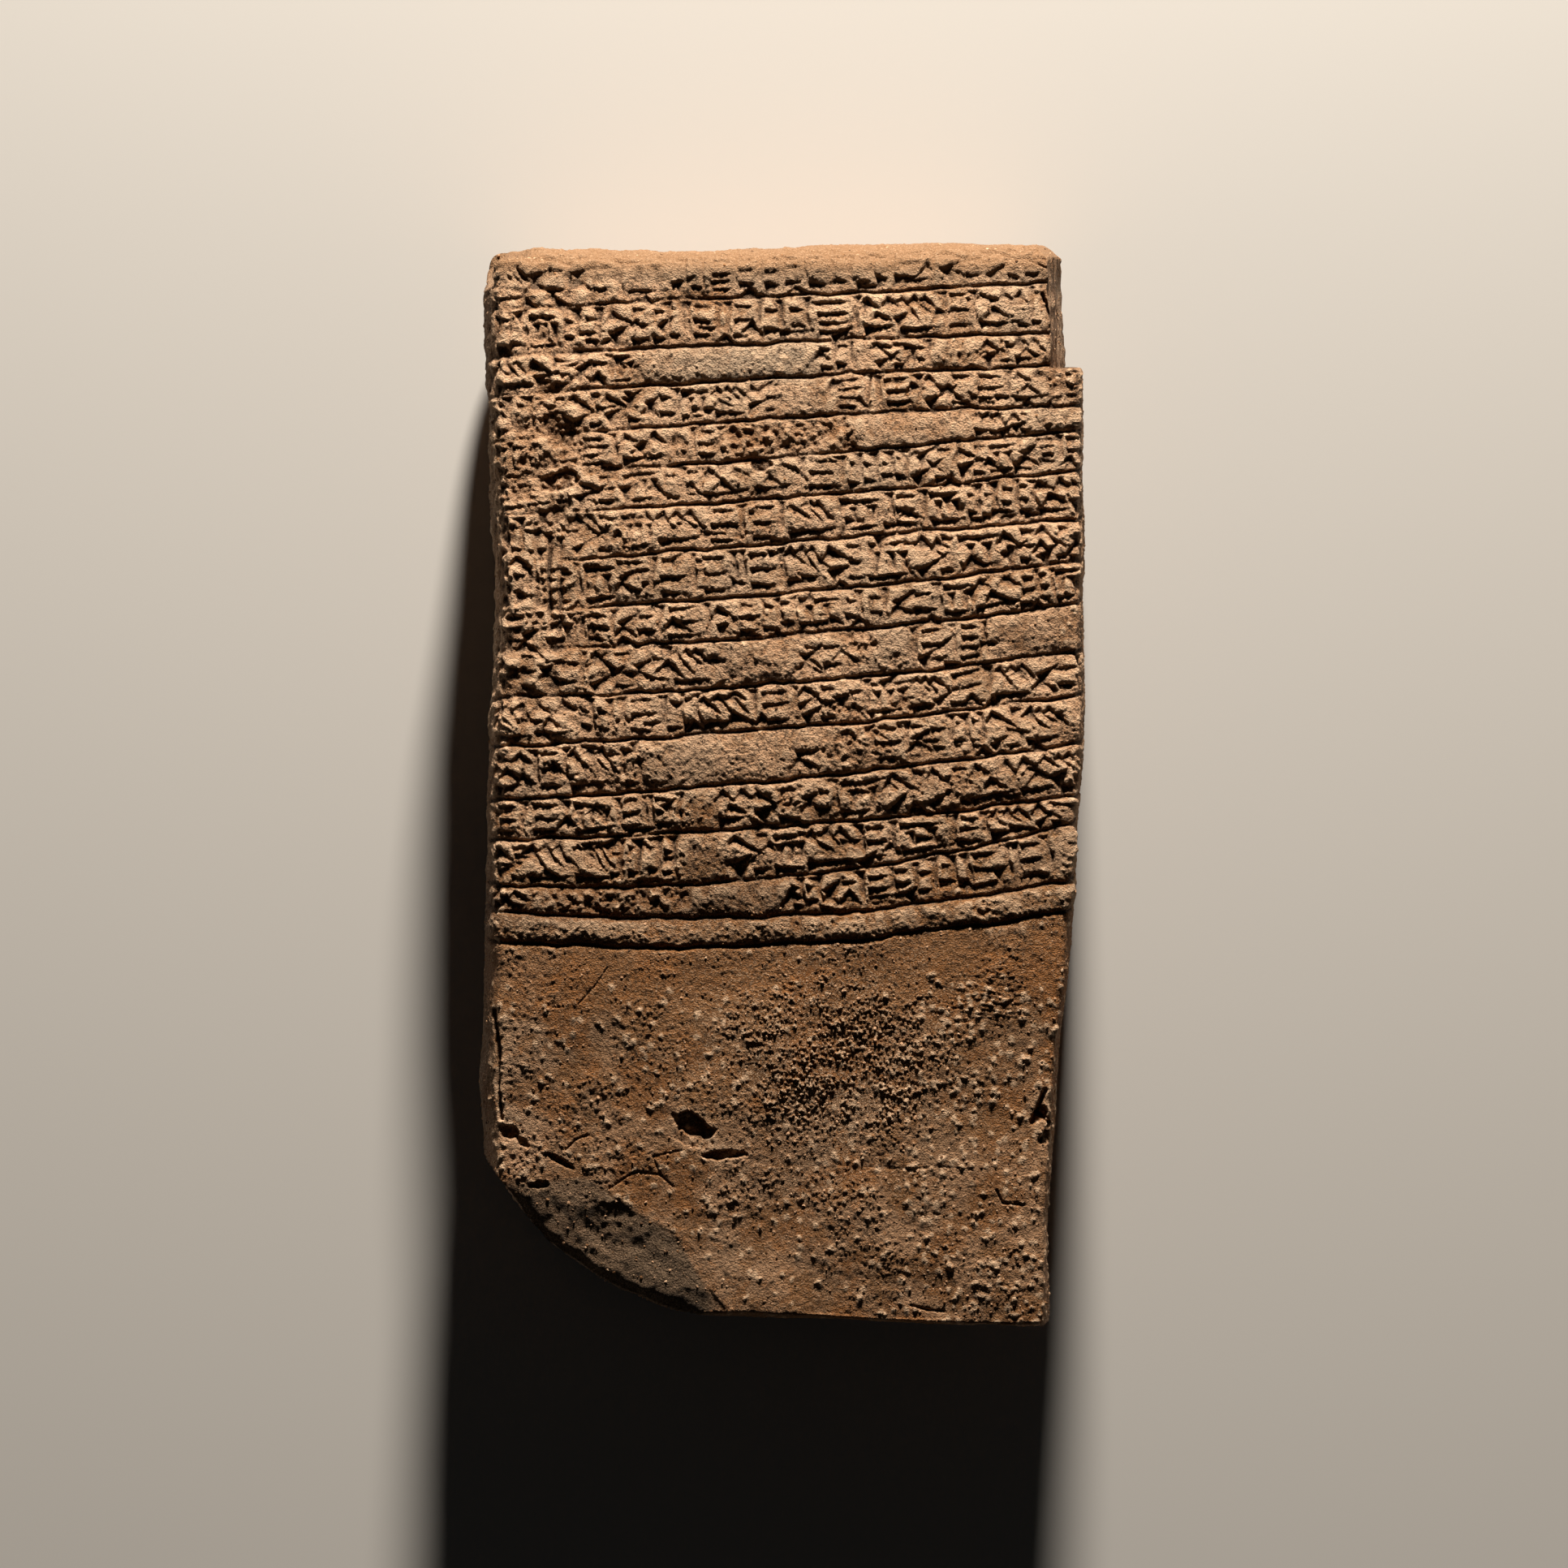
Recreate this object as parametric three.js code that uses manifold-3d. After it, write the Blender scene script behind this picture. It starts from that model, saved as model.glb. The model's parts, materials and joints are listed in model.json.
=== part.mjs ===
// A clay cuneiform tablet lying on its back, inscribed face up. Millimetres, +X to the right of the
// text, +Y towards the tablet's top edge, +Z out of the inscribed face. The origin is on the ground,
// under the middle of the tablet.
import * as THREE from "three";
import { ConvexGeometry } from "three/addons/geometries/ConvexGeometry.js";
import { mergeVertices } from "three/addons/utils/BufferGeometryUtils.js";
import Module from "manifold-3d";

const wasm = await Module();
wasm.setup();

// ---- Driving dimensions of the clay cushion ----
const HALF_WIDTH = 33;
const HALF_LENGTH = 59.7;
const THICKNESS = 27;
// How far in from the outline the rim starts to roll over, on each side, and how far down that reaches.
const EDGE_ROUND = { left: 2.2, right: 1.0, top: 2.8, bottom: 0.6 };
const EDGE_ROLL = 9;
const CORNER_POWER = 3; // higher makes the four corners squarer in plan
const FACE_DROP_UPPER = 3.4; // how much lower the face lies at its top end
const FACE_DROP_LOWER = 1.4; // at its lower end
const FACE_DROP_ACROSS = 1.4; // and at its two sides
const BACK_FLAT = 0.55; // share of the back that is flat, where the tablet rests
const BACK_RISE = 5; // how far the back curves up beyond that
const GRID = { across: 10, along: 20, through: 6 };

// ---- Ruled lines: their heights at the left edge, the middle and the right edge ----
const RULINGS = [
  [52.3, 53.6, 55.3],
  [46.9, 48.5, 49.5],
  [42.7, 44.6, 46.0],
  [37.7, 40.1, 41.5],
  [33.4, 35.8, 38.7],
  [29.5, 31.3, 34.4],
  [24.0, 26.4, 29.1],
  [18.9, 20.8, 24.4],
  [14.6, 16.2, 19.7],
  [9.3, 11.0, 14.4],
  [4.1, 6.1, 9.6],
  [-1.8, 0.4, 4.4],
  [-6.2, -4.7, -1.4],
  [-11.1, -10.3, -4.3],
  [-13.9, -14.5, -10.5],
  [-17.2, -17.6, -13.8],
];
const RULING_REACH = 32; // where the left and right heights are given
const RULING = { width: 0.85, depth: 0.52, floor: 0.15, segments: 8 };
const FIRST_ROW_HEIGHT = 5.8; // the row over the first ruling has no line above it

// ---- Which stretches of each row, from left to right, carry strokes ----
const WRITTEN = [
  [[-31.8, 29]],
  [[-31.8, 29]],
  [[-31.8, -16], [4, 8.5], [10, 16], [22, 28.5]],
  [[-31.8, -0.5], [5.5, 32.4]],
  [[-31.8, -12], [-10, 7], [21, 27]],
  [[-31.8, 33.9]],
  [[-31.8, 33.9]],
  [[-31.8, 33.9]],
  [[-31.8, 33.9]],
  [[-31.8, -6.5], [2.5, 8.5], [14, 24]],
  [[-31.8, 33.9]],
  [[-31.8, -15], [9.5, 30.9]],
  [[-31.8, -11], [-7, 33.9]],
  [[-31.8, -11.5], [-5.5, 32.4]],
  [[-31.8, -27], [1, 29]],
];

// ---- Strokes that stand outside the groups: tall posts at the left, lone wedges beside blanks ----
// Each is x, y of its head's deepest point, its tail's direction in degrees, its length and the width
// of its head, as every stroke is.
const LONE_STROKES = [
  [-27.2, 27.6, -88, 10.5, 1.6],
  [-25.8, 27.2, -90, 11.0, 1.5],
  [-24.5, 26.8, -91, 10.0, 1.5],
  [-16.6, 29.2, -90, 4.6, 1.3],
  [-28.4, 16.2, 24, 5.5, 1.9],
  [-28.6, 15.4, -34, 4.6, 1.8],
  [2.2, 13.8, 20, 2.6, 1.5],
  [2.2, 13.2, -26, 2.8, 1.6],
  [1.6, 3.2, 16, 3.0, 1.5],
  [1.6, 2.7, -22, 2.6, 1.5],
  [15.0, 13.6, 38, 6.0, 1.7],
  [-12.0, 8.6, 26, 6.4, 1.7],
  [-5.6, 7.4, -12, 5.0, 1.6],
];

// ---- Losses ----
// The lower left corner is broken off round in plan: the middle and radius of that arc, how far in
// its scar reaches over the face, and the bearing where it ends.
const BREAK = { x: -2.5, y: -25, radius: 34.1, reach: 8.5, end: -91 };
// The scar lies a step below the face, falls outwards at the left and in the scoop at the right, has
// a gully between them, and is worn away at its rim, where it meets the steep broken side.
const BREAK_FALL = { left: 0.08, scoop: 0.03, step: 0.12, gully: 0.05, rim: 0.45 };
const BREAK_WALL_SLOPE = 30; // the steep broken side, outside the rim
const BREAK_LIP_SLOPE = 0.6; // how the cut rises out of the face, inside the scar
// Bearings between which the scar widens, narrows, turns into the scoop and loses its worn rim.
const SCAR_WIDENS = [-150, -134];
const SCAR_NARROWS = [-114, BREAK.end];
const SCOOP_STARTS = [-124, -110];
const RIM_FADES = [-106, BREAK.end];
const GULLY = { bearing: -127, spread: 5, from: 0.5, to: 2.5 };
const STEP_REACH = 0.5;
const RIM_REACH = 1.6;
// The block that carries the broken surface: its size and how finely it follows that surface.
const BROKEN_BLOCK = { wide: 36, long: 24, across: 34, along: 24, beyond: 1, lowest: -6 };
// Clay lost from the upper corners: a point of each broken surface, where it looks, size, unevenness.
const CHIPS = [
  [[29.8, 58.8, 15], [1, 0.02, 0.1], 26, 0.25], // flake off the upper right side
  [[31.2, 55, 21.7], [0.6, 0.1, 0.8], 18, 0.3], // and off the edge above it
  [[29.6, 58.6, 14], [0.66, 0.74, 0.1], 26, 0.2], // rounded upper right corner
  [[-30.4, 57.6, 15], [-0.62, 0.76, 0.2], 14, 0.3], // chipped upper left corner
];
const CAVITIES = [
  // x, y, length, width, depth, turn in degrees
  [-9.9, -37.8, 4.0, 3.5, 0.9, -20],
  [-6.3, -40.7, 4.4, 0.9, 0.9, 2],
  [-30.2, -38.2, 2.2, 1.3, 0.8, -20],
  [-24.8, -41.3, 3.6, 0.7, 0.9, -30],
  [-27.0, -44.1, 2.0, 0.7, 0.8, 5],
  [28.4, -36.6, 4.4, 1.3, 0.9, 80],
  [-24.6, 33.2, 4.6, 2.2, 0.6, 10],
  [-2.4, 35.0, 2.2, 1.2, 0.6, 0],
];

// A repeatable source of small variations: each call gives the next number between low and high.
function makeChance(seed) {
  let state = seed;
  return (low, high) => {
    state = (state * 16807) % 2147483647;
    return low + ((high - low) * state) / 2147483647;
  };
}

const clamp = THREE.MathUtils.clamp;
const smoothstep = THREE.MathUtils.smoothstep;
const bell = (value, centre, spread) => Math.exp(-(((value - centre) / spread) ** 2));

// ---- The tablet's outline seen from above ----
const WAIST = { depth: 1.1, y: 18, spread: 17 }; // the left side is hollow above its middle
const TAPER = { depth: 3.9, from: 12, to: -56 }; // the right side draws in towards the bottom
const SHOULDER = { depth: 0.6, from: 36, to: 52 }; // and a little towards the top
const TOP_DIP = { depth: 0.75, x: -13, spread: 22 };
const BOTTOM_RISE = { depth: 1.25, from: 26, to: -8 };
const leftEdge = (y) => -HALF_WIDTH + WAIST.depth * bell(y, WAIST.y, WAIST.spread);
const rightEdge = (y) =>
  HALF_WIDTH -
  TAPER.depth * smoothstep(-y, -TAPER.from, -TAPER.to) -
  SHOULDER.depth * smoothstep(y, SHOULDER.from, SHOULDER.to);
const topEdge = (x) => HALF_LENGTH - TOP_DIP.depth * bell(x, TOP_DIP.x, TOP_DIP.spread);
const bottomEdge = (x) => -HALF_LENGTH + BOTTOM_RISE.depth * smoothstep(-x, -BOTTOM_RISE.from, -BOTTOM_RISE.to);

// The height of the inscribed face, before anything is pressed or broken into it.
function faceHeight(x, y) {
  const along = (y > 0 ? FACE_DROP_UPPER : FACE_DROP_LOWER) * (y / HALF_LENGTH) ** 2;
  const across = FACE_DROP_ACROSS * (x / HALF_WIDTH) ** 2;
  return THICKNESS - along - across;
}

// Moves a point of the unit cube's surface, each coordinate from -1 to 1, to the clay cushion.
function cushionPoint(point) {
  const half = [HALF_WIDTH, HALF_LENGTH, THICKNESS / 2];
  const across = point.x > 0 ? EDGE_ROUND.right : EDGE_ROUND.left;
  const round = [across, point.y > 0 ? EDGE_ROUND.top : EDGE_ROUND.bottom, EDGE_ROLL];
  const full = point.toArray().map((value, i) => value * half[i]);
  const core = full.map((value, i) => clamp(value, round[i] - half[i], half[i] - round[i]));
  const lean = full.map((value, i) => (value - core[i]) / round[i]);
  const sideways = (Math.abs(lean[0]) ** CORNER_POWER + Math.abs(lean[1]) ** CORNER_POWER) ** (1 / CORNER_POWER);
  const size = Math.hypot(sideways, lean[2]) || 1;
  const [x, y, z] = core.map((value, i) => value + (lean[i] / size) * round[i]);

  const middle = (leftEdge(y) + rightEdge(y)) / 2;
  const outX = middle + (x / HALF_WIDTH) * ((rightEdge(y) - leftEdge(y)) / 2);
  const outY = y > 0 ? (y / HALF_LENGTH) * topEdge(x) : (-y / HALF_LENGTH) * bottomEdge(x);
  const up = z / half[2]; // 1 on the face, -1 on the back
  const away = Math.hypot(x / HALF_WIDTH, y / HALF_LENGTH);
  const low = BACK_RISE * (Math.max(0, away - BACK_FLAT) / (Math.SQRT2 - BACK_FLAT)) ** 2;
  const high = faceHeight(outX, outY);
  return new THREE.Vector3(outX, outY, low + ((up + 1) / 2) * (high - low));
}

// Even steps from -1 to 1 drawn closer together near the two ends.
const towardsEnds = (value) => Math.sin((value * Math.PI) / 2);

// A three.js geometry as a manifold-3d solid.
function solid(geometry) {
  const bare = geometry.index ? geometry.toNonIndexed() : geometry.clone();
  bare.deleteAttribute("normal");
  bare.deleteAttribute("uv");
  const merged = mergeVertices(bare, 1e-4);
  return new wasm.Manifold(
    new wasm.Mesh({
      numProp: 3,
      vertProperties: new Float32Array(merged.attributes.position.array),
      triVerts: new Uint32Array(merged.index.array),
    }),
  );
}

// The other way round, with flat-shaded faces.
function geometryOf(manifold) {
  const { vertProperties, triVerts } = manifold.getMesh();
  const geometry = new THREE.BufferGeometry();
  geometry.setAttribute("position", new THREE.BufferAttribute(vertProperties, 3));
  geometry.setIndex(new THREE.BufferAttribute(triVerts, 1));
  const flat = geometry.toNonIndexed();
  flat.computeVertexNormals();
  return flat;
}

// Moves every vertex of a geometry by a function of its place.
function reshape(geometry, move) {
  const places = geometry.attributes.position;
  const point = new THREE.Vector3();
  for (let i = 0; i < places.count; i += 1) {
    const moved = move(point.fromBufferAttribute(places, i));
    places.setXYZ(i, moved.x, moved.y, moved.z);
  }
  return geometry;
}

function clayCushion() {
  const cube = new THREE.BoxGeometry(2, 2, 2, GRID.across, GRID.along, GRID.through);
  return reshape(cube, (point) => {
    point.set(towardsEnds(point.x), towardsEnds(point.y), towardsEnds(point.z));
    return cushionPoint(point);
  });
}

// ---- Ruled lines ----
function rulingHeight(ruling, x) {
  const [left, middle, right] = ruling;
  const t = x / RULING_REACH;
  return middle + ((right - left) / 2) * t + ((right + left) / 2 - middle) * t * t;
}

// A long V with a narrow floor, bent along a ruling and over the face.
function rulingCutter(ruling) {
  const overshoot = 0.5;
  const length = 2 * (RULING_REACH + 2.5);
  const bar = new THREE.BoxGeometry(length, 2, 2, RULING.segments, 1, 1);
  return reshape(bar, (point) => {
    const deep = point.z < 0;
    const halfOpening = (RULING.width / 2) * (1 + overshoot / RULING.depth);
    const y = rulingHeight(ruling, point.x) + point.y * (deep ? RULING.floor / 2 : halfOpening);
    const z = faceHeight(point.x, y) + (deep ? -RULING.depth : overshoot);
    return point.set(point.x, y, z);
  });
}

// ---- Strokes of the stylus ----
// A group fills a box that is wide across and tall down from its upper left corner. Groups only look
// like writing, and none is a sign of any real script.
// A stack of level strokes.
function rungs(x, top, bottom, count, long, chance) {
  const step = (bottom - top) / Math.max(1, count - 1);
  const rung = (i) => [x, -(top + step * i), chance(-4, 5), long * chance(0.85, 1.05), chance(0.85, 1.1)];
  return Array.from({ length: count }, (_, i) => rung(i));
}

function ladder(wide, tall, chance) {
  const count = 3 + Math.floor(chance(0, 1.99));
  const made = rungs(wide * 0.1, tall * 0.14, tall * 0.88, count, wide * 0.68, chance);
  return [...made, [wide * 0.88, -tall * 0.06, chance(-94, -87), tall * 0.86, 1.3]];
}

function twin(wide, tall, chance) {
  const count = 2 + Math.floor(chance(0, 1.99));
  const made = rungs(wide * 0.06, tall * 0.22, tall * 0.86, count, wide * 0.4, chance);
  made.push(...rungs(wide * 0.56, tall * 0.16, tall * 0.8, count, wide * 0.36, chance));
  made.push([wide * 0.5, -tall * 0.04, chance(-94, -87), tall * 0.88, 1.1]);
  return [...made, [wide * 0.97, -tall * 0.08, chance(-94, -87), tall * 0.8, 1.0]];
}

function comb(wide, tall, chance) {
  const teeth = 2 + Math.floor(chance(0, 1.99));
  const made = [[wide * 0.04, -tall * 0.18, chance(-4, 5), wide * 0.9, 1.35]];
  for (let i = 0; i < teeth; i += 1) {
    const x = (wide * (i + 0.75)) / (teeth + 0.5);
    made.push([x, -tall * 0.38, chance(-97, -84), tall * chance(0.4, 0.5), 1.3]);
  }
  return [...made, [wide * 0.08, -tall * 0.88, chance(0, 5), wide * 0.84, 0.95]];
}

function corners(wide, tall, chance) {
  const made = [[wide * 0.06, -tall * 0.82, chance(0, 6), wide * 0.88, 1.35]];
  for (let i = 0; i < 3; i += 1) {
    const y = -tall * (i % 2 ? 0.48 : 0.14);
    made.push([wide * (0.06 + 0.3 * i), y, chance(-42, -24), 2.0, chance(1.2, 1.6)]);
  }
  return made;
}

function fan(wide, tall, chance) {
  return [
    [wide * 0.1, -tall * 0.7, chance(18, 30), wide * 0.8, 1.7],
    [wide * 0.06, -tall * 0.2, chance(-36, -24), wide * 0.7, 1.55],
    ...rungs(wide * 0.56, tall * 0.14, tall * 0.86, 3, wide * 0.4, chance),
  ];
}

function posts(wide, tall, chance) {
  const made = [];
  for (const x of [wide * 0.34, wide * 0.84]) {
    made.push([x, -tall * 0.06, chance(-94, -86), tall * 0.86, 1.45]);
    made.push([x - wide * 0.3, -tall * chance(0.2, 0.36), chance(-4, 4), wide * 0.34, 1.0]);
    made.push([x - wide * 0.3, -tall * chance(0.66, 0.84), chance(-4, 4), wide * 0.34, 1.05]);
  }
  return made;
}

function brick(wide, tall, chance) {
  const made = [[wide * 0.08, -tall * 0.06, chance(-95, -86), tall * 0.86, 1.35]];
  made.push(...rungs(wide * 0.24, tall * 0.14, tall * 0.84, 3, wide * 0.6, chance));
  return [...made, [wide * 0.93, -tall * 0.08, chance(-96, -88), tall * 0.8, 1.2]];
}

function cross(wide, tall, chance) {
  return [
    [wide * 0.08, -tall * 0.12, chance(-42, -34), wide * 0.9, 1.5],
    [wide * 0.1, -tall * 0.86, chance(30, 40), wide * 0.84, 1.5],
    ...rungs(wide * 0.6, tall * 0.12, tall * 0.9, 2, wide * 0.36, chance),
  ];
}

function arrow(wide, tall, chance) {
  return [
    [wide * 0.06, -tall * 0.46, chance(26, 38), wide * 0.5, 1.7],
    [wide * 0.06, -tall * 0.56, chance(-38, -26), wide * 0.5, 1.7],
    ...rungs(wide * 0.44, tall * 0.3, tall * 0.74, 2, wide * 0.44, chance),
    [wide * 0.94, -tall * 0.06, chance(-95, -87), tall * 0.86, 1.3],
  ];
}

function slants(wide, tall, chance) {
  const made = [[wide * 0.04, -tall * 0.86, chance(0, 7), wide * 0.92, 1.3]];
  for (let i = 0; i < 3; i += 1) {
    made.push([wide * (0.06 + 0.28 * i), -tall * 0.14, chance(-56, -40), tall * 0.7, chance(1.1, 1.5)]);
  }
  return made;
}

// Each group, and which of its strokes are large enough for the solid.
const GROUPS = [
  { group: ladder, main: [1, -1] },
  { group: twin, main: [0, -2] },
  { group: comb, main: [0, 1] },
  { group: corners, main: [0, 1] },
  { group: fan, main: [0, 1] },
  { group: posts, main: [0, 3] },
  { group: brick, main: [0, 2] },
  { group: cross, main: [0, 1] },
  { group: arrow, main: [0, -1] },
  { group: slants, main: [0, 2] },
];

const LAYOUT_SEED = 20617;
const GROUP_WIDTH = [3.2, 5.6];
const NARROWEST_GROUP = 1.6;
const GROUP_GAP = 0.3; // the widest gap between two groups
const LINE_MARGIN = 0.3; // between the line above and a group
const ROW_MARGIN = 0.7; // above and below a group together

// The tablet's main strokes, group after group along each written stretch of each row.
function mainStrokes() {
  const chance = makeChance(LAYOUT_SEED);
  const strokes = [...LONE_STROKES];
  WRITTEN.forEach((stretches, row) => {
    const lower = RULINGS[row];
    const upper = row ? RULINGS[row - 1] : lower.map((height) => height + FIRST_ROW_HEIGHT);
    for (const [start, end] of stretches) {
      let x = start;
      while (x < end - NARROWEST_GROUP) {
        const wide = Math.min(chance(...GROUP_WIDTH), end - x);
        const { group, main } = GROUPS[Math.floor(chance(0, GROUPS.length - 0.01))];
        const top = rulingHeight(upper, x + wide / 2);
        const tall = top - rulingHeight(lower, x + wide / 2) - ROW_MARGIN;
        const slope = (rulingHeight(upper, x + wide) - rulingHeight(upper, x)) / wide;
        const made = group(wide, tall, chance);
        for (const [dx, dy, turn, length, width] of main.map((place) => made.at(place))) {
          const y = top - LINE_MARGIN + dy + slope * (dx - wide / 2);
          strokes.push([x + dx, y, turn + THREE.MathUtils.radToDeg(slope), length, width]);
        }
        x += wide + chance(0, GROUP_GAP);
      }
    }
  });
  return strokes;
}

const STROKE_DEPTH = 0.43; // of the head's width
const HEAD_LENGTH = 0.28; // of the head's width, behind its deepest point
const OVERSHOOT = 0.45; // how far a cutter stands above the face

// The stylus corner: three slanting planes that meet at the deepest point of the head.
function strokeCutter([x, y, turn, length, width]) {
  const depth = STROKE_DEPTH * width;
  const grow = (depth + OVERSHOOT) / depth;
  const head = -HEAD_LENGTH * width;
  const spin = THREE.MathUtils.degToRad(turn);
  const at = (along, across, z) => {
    const px = x + along * Math.cos(spin) - across * Math.sin(spin);
    const py = y + along * Math.sin(spin) + across * Math.cos(spin);
    return new THREE.Vector3(px, py, faceHeight(px, py) + z);
  };
  return new ConvexGeometry([
    at(0, 0, -depth),
    at(head * grow, (width / 2) * grow, OVERSHOOT),
    at(head * grow, (-width / 2) * grow, OVERSHOOT),
    at(length * grow, 0, OVERSHOOT),
  ]);
}

// ---- Losses ----
// The broken surface at the lower left corner. How far in it reaches changes with the bearing seen
// from the middle of the round break.
function brokenHeight(x, y) {
  const bearing = THREE.MathUtils.radToDeg(Math.atan2(y - BREAK.y, x - BREAK.x));
  if (bearing > BREAK.end || y > BREAK.y) return THICKNESS + 2;
  const inward = BREAK.radius - Math.hypot(x - BREAK.x, y - BREAK.y);
  const reach = BREAK.reach * smoothstep(bearing, ...SCAR_WIDENS) * (1 - smoothstep(bearing, ...SCAR_NARROWS));
  const out = clamp(reach - inward, 0, reach);
  const fall = THREE.MathUtils.lerp(BREAK_FALL.left, BREAK_FALL.scoop, smoothstep(bearing, ...SCOOP_STARTS));
  const step = BREAK_FALL.step * smoothstep(out, 0, STEP_REACH);
  const gully = BREAK_FALL.gully * bell(bearing, GULLY.bearing, GULLY.spread) * smoothstep(out, GULLY.from, GULLY.to);
  const rim = BREAK_FALL.rim * (1 - smoothstep(inward, 0, RIM_REACH)) ** 2 * (1 - smoothstep(bearing, ...RIM_FADES));
  const height = faceHeight(x, y) - fall * out - step - gully - rim;
  return height + BREAK_WALL_SLOPE * Math.min(0, inward) + BREAK_LIP_SLOPE * Math.max(0, inward - reach);
}

function brokenCorner() {
  const { wide, long, across, along, beyond, lowest } = BROKEN_BLOCK;
  const block = new THREE.BoxGeometry(wide, long, 2, across, along, 1);
  block.translate(-HALF_WIDTH - beyond + wide / 2, -HALF_LENGTH - beyond + long / 2, 0);
  return reshape(block, (point) => {
    const floor = clamp(brokenHeight(point.x, point.y), lowest, THICKNESS + 2);
    return point.setZ(point.z > 0 ? THICKNESS + 8 : floor);
  });
}

// A slab with one uneven face. That face passes through a point and looks along a direction.
function roughSlab(through, facing, size, bumps) {
  const slab = new THREE.BoxGeometry(size, size, size / 2, 9, 9, 1);
  reshape(slab, (point) => {
    const wave = Math.sin(point.x * 0.9 + 1) * Math.sin(point.y * 0.7) * bumps;
    return point.setZ(point.z > 0 ? size / 2 : wave);
  });
  const turn = new THREE.Quaternion().setFromUnitVectors(
    new THREE.Vector3(0, 0, 1),
    new THREE.Vector3(...facing).normalize(),
  );
  return slab.applyQuaternion(turn).translate(...through);
}

// A rounded hollow sunk into the face.
function cavity([x, y, length, width, depth, turn]) {
  const ball = new THREE.SphereGeometry(1, 8, 5);
  ball.rotateX(Math.PI / 2);
  ball.scale(length / 2, width / 2, depth);
  ball.rotateZ(THREE.MathUtils.degToRad(turn));
  return ball.translate(x, y, faceHeight(x, y));
}

function tablet() {
  const cutters = [
    ...RULINGS.map(rulingCutter),
    ...mainStrokes().map(strokeCutter),
    ...CAVITIES.map(cavity),
    brokenCorner(),
    ...CHIPS.map((chip) => roughSlab(...chip)),
  ];
  let clay = solid(clayCushion());
  for (const cutter of cutters) clay = clay.subtract(solid(cutter));
  const material = new THREE.MeshStandardMaterial({ color: 0xb08a66, roughness: 0.92, metalness: 0 });
  material.name = "clay";
  const mesh = new THREE.Mesh(geometryOf(clay), material);
  mesh.name = "tablet";
  return mesh;
}

const part = new THREE.Group();
part.add(tablet());

export default part;
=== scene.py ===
"""A clay cuneiform tablet lying on its back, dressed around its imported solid.

Lengths inside the modelling functions are millimetres, in the solid's frame: +X to the right of the
text, +Y towards the top edge, +Z out of the inscribed face. Meshes are turned to metres at the end.
"""

import json
import math

import bmesh
import bpy
import numpy as np
from mathutils import Matrix, Vector
from mathutils.bvhtree import BVHTree

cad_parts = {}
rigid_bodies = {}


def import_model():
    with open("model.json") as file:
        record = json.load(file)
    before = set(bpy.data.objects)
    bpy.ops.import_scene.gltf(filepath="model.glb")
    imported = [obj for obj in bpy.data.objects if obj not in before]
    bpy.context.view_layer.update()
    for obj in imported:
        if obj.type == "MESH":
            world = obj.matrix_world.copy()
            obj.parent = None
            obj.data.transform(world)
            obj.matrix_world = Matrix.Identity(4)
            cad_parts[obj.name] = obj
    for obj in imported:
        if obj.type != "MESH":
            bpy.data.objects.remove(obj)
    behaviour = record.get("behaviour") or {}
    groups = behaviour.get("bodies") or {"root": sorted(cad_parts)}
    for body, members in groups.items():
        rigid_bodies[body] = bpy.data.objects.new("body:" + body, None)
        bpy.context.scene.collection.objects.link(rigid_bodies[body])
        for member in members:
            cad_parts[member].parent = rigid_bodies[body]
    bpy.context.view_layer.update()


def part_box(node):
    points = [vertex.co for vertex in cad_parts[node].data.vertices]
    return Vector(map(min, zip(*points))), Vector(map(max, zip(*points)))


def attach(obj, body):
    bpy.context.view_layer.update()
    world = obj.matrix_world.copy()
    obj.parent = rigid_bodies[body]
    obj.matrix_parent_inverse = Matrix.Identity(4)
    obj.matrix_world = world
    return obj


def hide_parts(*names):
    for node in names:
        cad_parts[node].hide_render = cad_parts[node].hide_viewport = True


bl_info = {
    "name": "Cuneiform Tablet",
    "version": (1, 0, 0),
    "blender": (4, 5, 0),
    "location": "View3D > Sidebar > Tablet",
    "description": "Models a weathered clay tablet with ruled rows of pressed wedge strokes",
    "category": "Add Mesh",
}

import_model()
NODE_LOW, NODE_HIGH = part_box("tablet")
MM = 0.001

# ---- The clay cushion, as in the solid ----
HALF_WIDTH = round((NODE_HIGH.x - NODE_LOW.x) / 2 / MM, 1)
HALF_LENGTH = round((NODE_HIGH.y - NODE_LOW.y) / 2 / MM, 1)
THICKNESS = round((NODE_HIGH.z - NODE_LOW.z) / MM, 1)
EDGE_ROUND = {"left": 2.2, "right": 1.0, "top": 2.8, "bottom": 0.6}
EDGE_ROLL = 9
CORNER_POWER = 3
FACE_DROP_UPPER = 3.4
FACE_DROP_LOWER = 1.4
FACE_DROP_ACROSS = 1.4
BACK_FLAT = 0.55
BACK_RISE = 5

# ---- Ruled lines: their heights at the left edge, the middle and the right edge ----
RULINGS = [
    (52.3, 53.6, 55.3), (46.9, 48.5, 49.5), (42.7, 44.6, 46.0), (37.7, 40.1, 41.5),
    (33.4, 35.8, 38.7), (29.5, 31.3, 34.4), (24.0, 26.4, 29.1), (18.9, 20.8, 24.4),
    (14.6, 16.2, 19.7), (9.3, 11.0, 14.4), (4.1, 6.1, 9.6), (-1.8, 0.4, 4.4), (-6.2, -4.7, -1.4),
    (-11.1, -10.3, -4.3), (-13.9, -14.5, -10.5), (-17.2, -17.6, -13.8),
]
RULING_REACH = 32
ROLLED_WIDTH = 0.32
SHARP_WIDTH = 0.2
FIRST_ROW_HEIGHT = 5.8

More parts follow.
